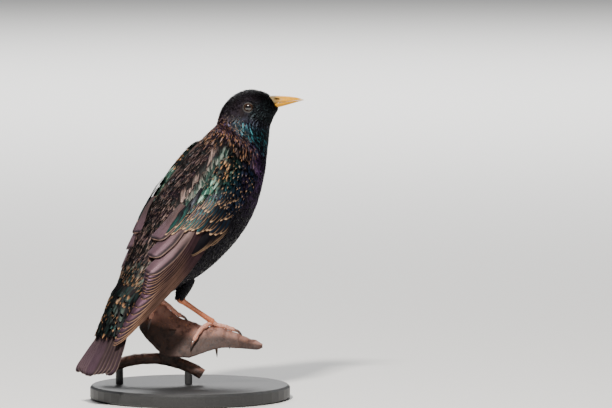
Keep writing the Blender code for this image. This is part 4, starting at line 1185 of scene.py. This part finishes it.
def on_leaf(place, depth, radius):
    """The middle of a toe that rests on the leaf's upper face or hangs past its edge."""
    ridge, low, half = row_at(LEAF_ROWS, place)
    if abs(depth) > half:
        beside = math.copysign(half + radius * 0.9, depth)
        return perch_point(place, beside, low - (abs(depth) - half) * 1.6)
    part = abs(depth) / half
    fall, above, below = np.interp((part, part - 0.02, min(part + 0.02, 1)), LEAF_PARTS, LEAF_FALLS)
    steep = (ridge - low) / half * (below - above) / 0.04
    return perch_point(place, depth, ridge - (ridge - low) * fall + radius * math.sqrt(1 + steep * steep))


def skin_tube(name, path, radii, pads, tint, finish, nodes=()):
    """A scaled tube: a toe or a shank, ringed with scutes on top and padded below."""
    rings = tube(path, radii, 28)
    lengths = np.concatenate([[0], np.cumsum(np.linalg.norm(np.diff(path, axis=0), axis=1))])[:, None]
    wave = (lengths / 1.55) % 1.0
    scute = 0.075 * (np.sqrt(wave) - 0.6) * step(0, 0.12, wave)
    away = unit(rings - rings.mean(1, keepdims=True))
    swell = scute + pads * 0.10 * np.sin(lengths * math.tau / 4.6) * (away[..., 2] < -0.2)
    shade = 1 - 0.38 * np.exp(-((wave - 0.02) / 0.09) ** 2)
    item = closed(name, rings + away * swell[..., None], tint * shade[..., None])
    settle(item, finish, nodes)


def build_legs(side, skin, claw_finish):
    """Shank, toes and claws of one leg."""
    ankle, foot = np.array(ANKLES[side]), np.array(FEET[side])
    share = np.linspace(0, 1, 90)
    radius = np.interp(share, (0, 0.06, 0.16, 0.5, 0.9, 1.0), (2.0, 2.15, 1.7, 1.42, 1.62, 2.0))
    path = ankle + np.outer(share, foot - ankle)
    skin_tube("shank_" + side, path, radius, 0.0, SHANK_RED, skin, ["tarsus_" + side])
    t = np.linspace(0, 1, 70)
    knuckle = 0.12 * np.exp(-((t * 4 % 1 - 0.5) / 0.25) ** 2)
    radius = TOE_RADIUS * (np.interp(t, (0, 0.1, 0.9, 1), (1.2, 1.0, 0.86, 0.6)) + knuckle)
    for number, row in enumerate(TOES[side], 1):
        rests = np.array([foot] + [on_leaf(place, depth, TOE_RADIUS) for place, depth in row])
        path = curve_through(rests, 70)
        nodes = ["foot_" + side] if number == 1 else ()
        skin_tube(f"toe_{side}_{number}", path, radius, 1.0, TOE_PINK, skin, nodes)
        build_claw(f"{side}_{number}", rests, claw_finish)


def build_claw(name, rests, finish):
    """A curved claw at the end of a toe, turned in against the iron."""
    tip = rests[-1]
    ahead = unit(tip - rests[-2])
    down = unit(ahead * 0.6 - (0.0, 0.0, 1.0))
    path = [tip + ahead * far + down * low for far, low in ((-0.6, 0), (1.6, 0), (2.8, 1.2), (3.2, 3.0))]
    t = np.linspace(0, 1, 26)
    rings = tube(curve_through(path, 26), np.interp(t, (0, 0.33, 0.67, 1), (0.95, 0.8, 0.5, 0.08)), 16)
    tint = mix((0.16, 0.075, 0.055), (0.022, 0.015, 0.014), step(0.15, 0.75, t))
    settle(closed("nail_" + name, rings, tint[:, None]), finish, ["claw_" + name])


class Nodes:
    """Short ways to add and join shader nodes."""

    def __init__(self, name):
        self.material = bpy.data.materials.new(name)
        self.material.use_nodes = True
        self.tree = self.material.node_tree
        self.shader = self.tree.nodes["Principled BSDF"]

    def add(self, kind, **values):
        """A new node with settings."""
        node = self.tree.nodes.new(kind)
        for key, value in values.items():
            setattr(node, key, value)
        return node

    def put(self, socket, value):
        """Sets a socket to a number or a colour, or joins it to another node's output."""
        if isinstance(value, (int, float)):
            socket.default_value = value
        elif isinstance(value, tuple):
            socket.default_value = (*value, 1)
        else:
            self.tree.links.new(value, socket)

    def fill(self, node, **values):
        """Puts values in a node's sockets by name."""
        for key, value in values.items():
            self.put(node.inputs[key.replace("_", " ")], value)
        return node

    def math(self, operation, *values):
        """A sum, product or the like of numbers and outputs."""
        node = self.add("ShaderNodeMath", operation=operation)
        for socket, value in zip(node.inputs, values):
            self.put(socket, value)
        return node.outputs[0]

    def scaled(self, value, factor, offset):
        """A number times a factor, and an offset."""
        return self.math("ADD", self.math("MULTIPLY", value, factor), offset)

    def noise(self, scale, detail=4.0):
        """Noise fixed to the object."""
        place = self.add("ShaderNodeTexCoord").outputs["Object"]
        node = self.add("ShaderNodeTexNoise")
        return self.fill(node, Vector=place, Scale=scale, Detail=detail).outputs["Fac"]

    def attribute(self, name):
        """A colour kept at the mesh's points."""
        return self.add("ShaderNodeAttribute", attribute_name=name).outputs["Color"]

    def ramp(self, source, *stops):
        """Colours by a number, with a place for each."""
        node = self.add("ShaderNodeValToRGB")
        band = node.color_ramp
        while len(band.elements) < len(stops):
            band.elements.new(0.5)
        for element, (place, colour) in zip(band.elements, stops):
            element.position, element.color = place, (*colour, 1)
        self.put(node.inputs[0], source)
        return node.outputs[0]

    def mixed(self, a, b, share=1.0, blend_type="MULTIPLY"):
        """Colour b over colour a by a share."""
        node = self.add("ShaderNodeMix", data_type="RGBA", blend_type=blend_type)
        for number, value in ((0, share), (6, a), (7, b)):
            self.put(node.inputs[number], value)
        return node.outputs[2]

    def bump(self, height, strength, distance):
        """Gives the finish a fine relief."""
        node = self.fill(self.add("ShaderNodeBump"), Height=height, Strength=strength, Distance=distance)
        self.fill(self.shader, Normal=node.outputs[0])

    def finish(self, colour, rough, metal=0.0):
        """The material, with its last three sockets filled."""
        self.fill(self.shader, Base_Color=colour, Roughness=rough, Metallic=metal)
        return self.material


def plumage_finish(name, barb_size, barb_depth):
    """Feather colour and gloss from the mesh, with fine barbs slanting from each shaft."""
    n = Nodes(name)
    shine = n.fill(n.add("ShaderNodeSeparateColor"), Color=n.attribute("shine")).outputs
    vane = n.add("ShaderNodeUVMap", uv_map="vane").outputs[0]
    across, along = n.fill(n.add("ShaderNodeSeparateXYZ"), Vector=vane).outputs[:2]
    slant = n.scaled(n.math("ABSOLUTE", across), -1.1, along)
    grain = n.noise(900.0, 3.0)
    wave = n.math("SINE", n.scaled(slant, 62.8 / barb_size, n.math("MULTIPLY", grain, 3.0)))
    dim = n.scaled(wave, 0.07, n.scaled(n.noise(260.0, 3.0), 0.5, 0.72))
    grey = n.fill(n.add("ShaderNodeCombineColor"), Red=dim, Green=dim, Blue=dim).outputs[0]
    rough = n.math("ADD", shine[1], n.math("MULTIPLY", n.math("SUBTRACT", grain, 0.5), 0.16))
    n.bump(wave, 0.32, barb_depth)
    n.fill(n.shader, Specular_IOR_Level=0.3, Specular_Tint=(0.30, 0.30, 0.33))
    return n.finish(n.mixed(n.attribute("tint"), grey), rough, shine[0])


def tinted_finish(name, scale, share, rough, bump, coat=0.0, specular=0.5):
    """A finish whose colour comes from the mesh, broken up by a fine grain."""
    n = Nodes(name)
    grain = n.noise(scale, 5.0)
    dim = n.ramp(grain, (0.3, (1 - share,) * 3), (0.7, (1.0,) * 3))
    n.bump(grain, bump, 0.0002)
    n.fill(n.shader, Coat_Weight=coat, Coat_Roughness=0.05, Specular_IOR_Level=specular)
    return n.finish(n.mixed(n.attribute("tint"), dim), n.scaled(grain, 0.18, rough - 0.09))


def plain_finish(name, scale, detail, dark, light, rough, low=0.3, bump=0.0, uneven_rough=0.0):
    """A finish of two near colours mixed by a fine grain."""
    n = Nodes(name)
    grain = n.noise(scale, detail)
    if bump:
        n.bump(grain, bump, 0.0001)
    if uneven_rough:
        rough = n.scaled(grain, uneven_rough, rough)
    return n.finish(n.ramp(grain, (low, dark), (0.7, light)), rough)


def iron_finish():
    """Old paint and rust: pinkish brown with darker pits and orange bloom, times the painted light and
    shade kept in the mesh's tint.
    """
    n = Nodes("rusty_iron_finish")
    broad, middle, fine = n.noise(60.0, 6.0), n.noise(260.0, 6.0), n.noise(900.0, 8.0)
    paint_colour = n.ramp(broad, (0.32, (0.085, 0.038, 0.028)), (0.48, (0.17, 0.082, 0.062)),
                          (0.66, (0.25, 0.135, 0.110)))
    pits = n.ramp(middle, (0.36, (0.30, 0.26, 0.26)), (0.50, (1.0, 1.0, 1.0)))
    bloom = n.ramp(fine, (0.58, (0.0, 0.0, 0.0)), (0.74, (0.7, 0.7, 0.7)))
    rusty = n.mixed(n.mixed(paint_colour, pits, 0.85), (0.42, 0.17, 0.07), bloom, "MIX")
    n.bump(n.scaled(middle, 0.6, n.math("MULTIPLY", fine, 0.4)), 0.8, 0.0007)
    # the rust colour times the painted light and shade from the mesh
    return n.finish(n.mixed(rusty, n.attribute("tint")), n.scaled(fine, 0.3, 0.5), 0.12)


def area_light(name, place, aim, size, watts, colour):
    """A rectangular lamp at a place, turned to face its aim."""
    lamp = bpy.data.lights.new(name, "AREA")
    lamp.shape = "RECTANGLE"
    lamp.size, lamp.size_y = size
    lamp.energy, lamp.color = watts, colour
    item = bpy.data.objects.new(name, lamp)
    item.location = place
    item.rotation_mode = "QUATERNION"
    item.rotation_quaternion = (Vector(aim) - Vector(place)).to_track_quat("-Z", "Y")
    bpy.context.scene.collection.objects.link(item)


def build_world():
    """A pale sky that the camera sees, and a dimmer one that lights the scene."""
    world = bpy.data.worlds.new("studio")
    world.use_nodes = True
    tree = world.node_tree
    shown, lit = tree.nodes["Background"], tree.nodes.new("ShaderNodeBackground")
    shown.inputs[0].default_value, shown.inputs[1].default_value = (0.80, 0.81, 0.82, 1), 1.0
    lit.inputs[0].default_value, lit.inputs[1].default_value = (0.82, 0.86, 0.90, 1), 0.12
    path, both = tree.nodes.new("ShaderNodeLightPath"), tree.nodes.new("ShaderNodeMixShader")
    sources = path.outputs["Is Camera Ray"], lit.outputs[0], shown.outputs[0]
    for source, target in zip(sources, both.inputs):
        tree.links.new(source, target)
    tree.links.new(both.outputs[0], tree.nodes["World Output"].inputs[0])
    bpy.context.scene.world = world


def build_studio():
    """A pale floor and backdrop, a strong soft key from the upper left, fill and rim."""
    bpy.ops.mesh.primitive_plane_add(size=1, location=(0, 0, 0))
    floor = bpy.context.object
    floor.name = "floor"
    floor.scale = (14, 14, 1)
    floor.data.materials.append(
        plain_finish("floor_finish", 3.0, 4.0, (0.80, 0.79, 0.77), (0.84, 0.83, 0.81), 0.85))
    for lamp in LAMPS:
        area_light(*lamp)
    build_world()


def build_camera():
    """A long lens from the bird's right and a little behind, framed as the photograph is."""
    a, e = math.radians(CAMERA_AZIMUTH), math.radians(CAMERA_ELEVATION)
    back = Vector((math.sin(a) * math.cos(e), -math.cos(a) * math.cos(e), math.sin(e)))
    right = Vector((math.cos(a), math.sin(a), 0))
    up = right.cross(-back)
    distance = PHOTO_SIZE[0] * MM_TO_PIXEL * CAMERA_LENS / CAMERA_SENSOR
    centre = Vector(BIRD_AT)
    centre += right * (PHOTO_SIZE[0] / 2 - PHOTO_REFERENCE[0]) * MM_TO_PIXEL
    centre += up * (PHOTO_REFERENCE[1] - PHOTO_SIZE[1] / 2) * MM_TO_PIXEL
    data = bpy.data.cameras.new("camera")
    data.lens, data.sensor_width = CAMERA_LENS, CAMERA_SENSOR
    data.clip_start, data.clip_end = 0.1, 20
    camera = bpy.data.objects.new("camera", data)
    camera.location = (centre + back * distance) * MM
    camera.rotation_mode = "QUATERNION"
    camera.rotation_quaternion = (-back).to_track_quat("-Z", "Y")
    bpy.context.scene.collection.objects.link(camera)
    bpy.context.scene.camera = camera


def keep_node(name, finish):
    """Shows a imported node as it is, with its own finish."""
    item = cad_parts[name]
    item.data.materials.clear()
    item.data.materials.append(finish)


def main():
    """Builds the bird, its perch, the stand's finish, the studio and the camera, in that order."""
    chance = np.random.default_rng(11)
    body = Surface(body_form, (0.0, 15.0), (-2.0, math.tau + 0.4), (421, 321))
    ground = Ground(body)
    plumage = plumage_finish("plumage_finish", 0.42, 0.00010)
    flight = plumage_finish("flight_finish", 0.50, 0.00008)
    bed = plain_finish("feather_bed", 500.0, 4.0, (0.008, 0.007, 0.009), (0.022, 0.018, 0.02), 0.7)
    body_skin(body, plumage)
    body_coat(body, plumage, chance)
    head_coat(body, plumage, chance)
    for left in (False, True):
        build_wing(left, ground, plumage, flight, bed, chance)
    build_tail(plumage, flight, chance)
    build_bill(tinted_finish("bill_finish", 700.0, 0.16, 0.42, 0.12, 0.0, 0.2))
    skin = tinted_finish("leg_finish", 1300.0, 0.30, 0.46, 0.35)
    claws = tinted_finish("claw_finish", 1100.0, 0.25, 0.32, 0.1, 0.3)
    gloss = tinted_finish("eye_finish", 500.0, 0.05, 0.12, 0.0, 1.0)
    rim = plain_finish("eyelid", 1500.0, 4.0, (0.016, 0.015, 0.016), (0.048, 0.044, 0.042), 0.5,
                       low=0.35, bump=0.5)
    for side in (1, -1):
        build_eye(side, gloss, rim)
    for side in ("right", "left"):
        thigh_coat(side, plumage, chance)
        build_legs(side, skin, claws)
    build_perch(iron_finish())
    black = plain_finish("stand_finish", 1400.0, 3.0, (0.018, 0.018, 0.019), (0.032, 0.032, 0.033), 0.38,
                         bump=0.25, uneven_rough=0.2)
    for name in ("stand_base", "stand_rod_1", "stand_rod_2"):
        keep_node(name, black)
    build_studio()
    build_camera()


main()
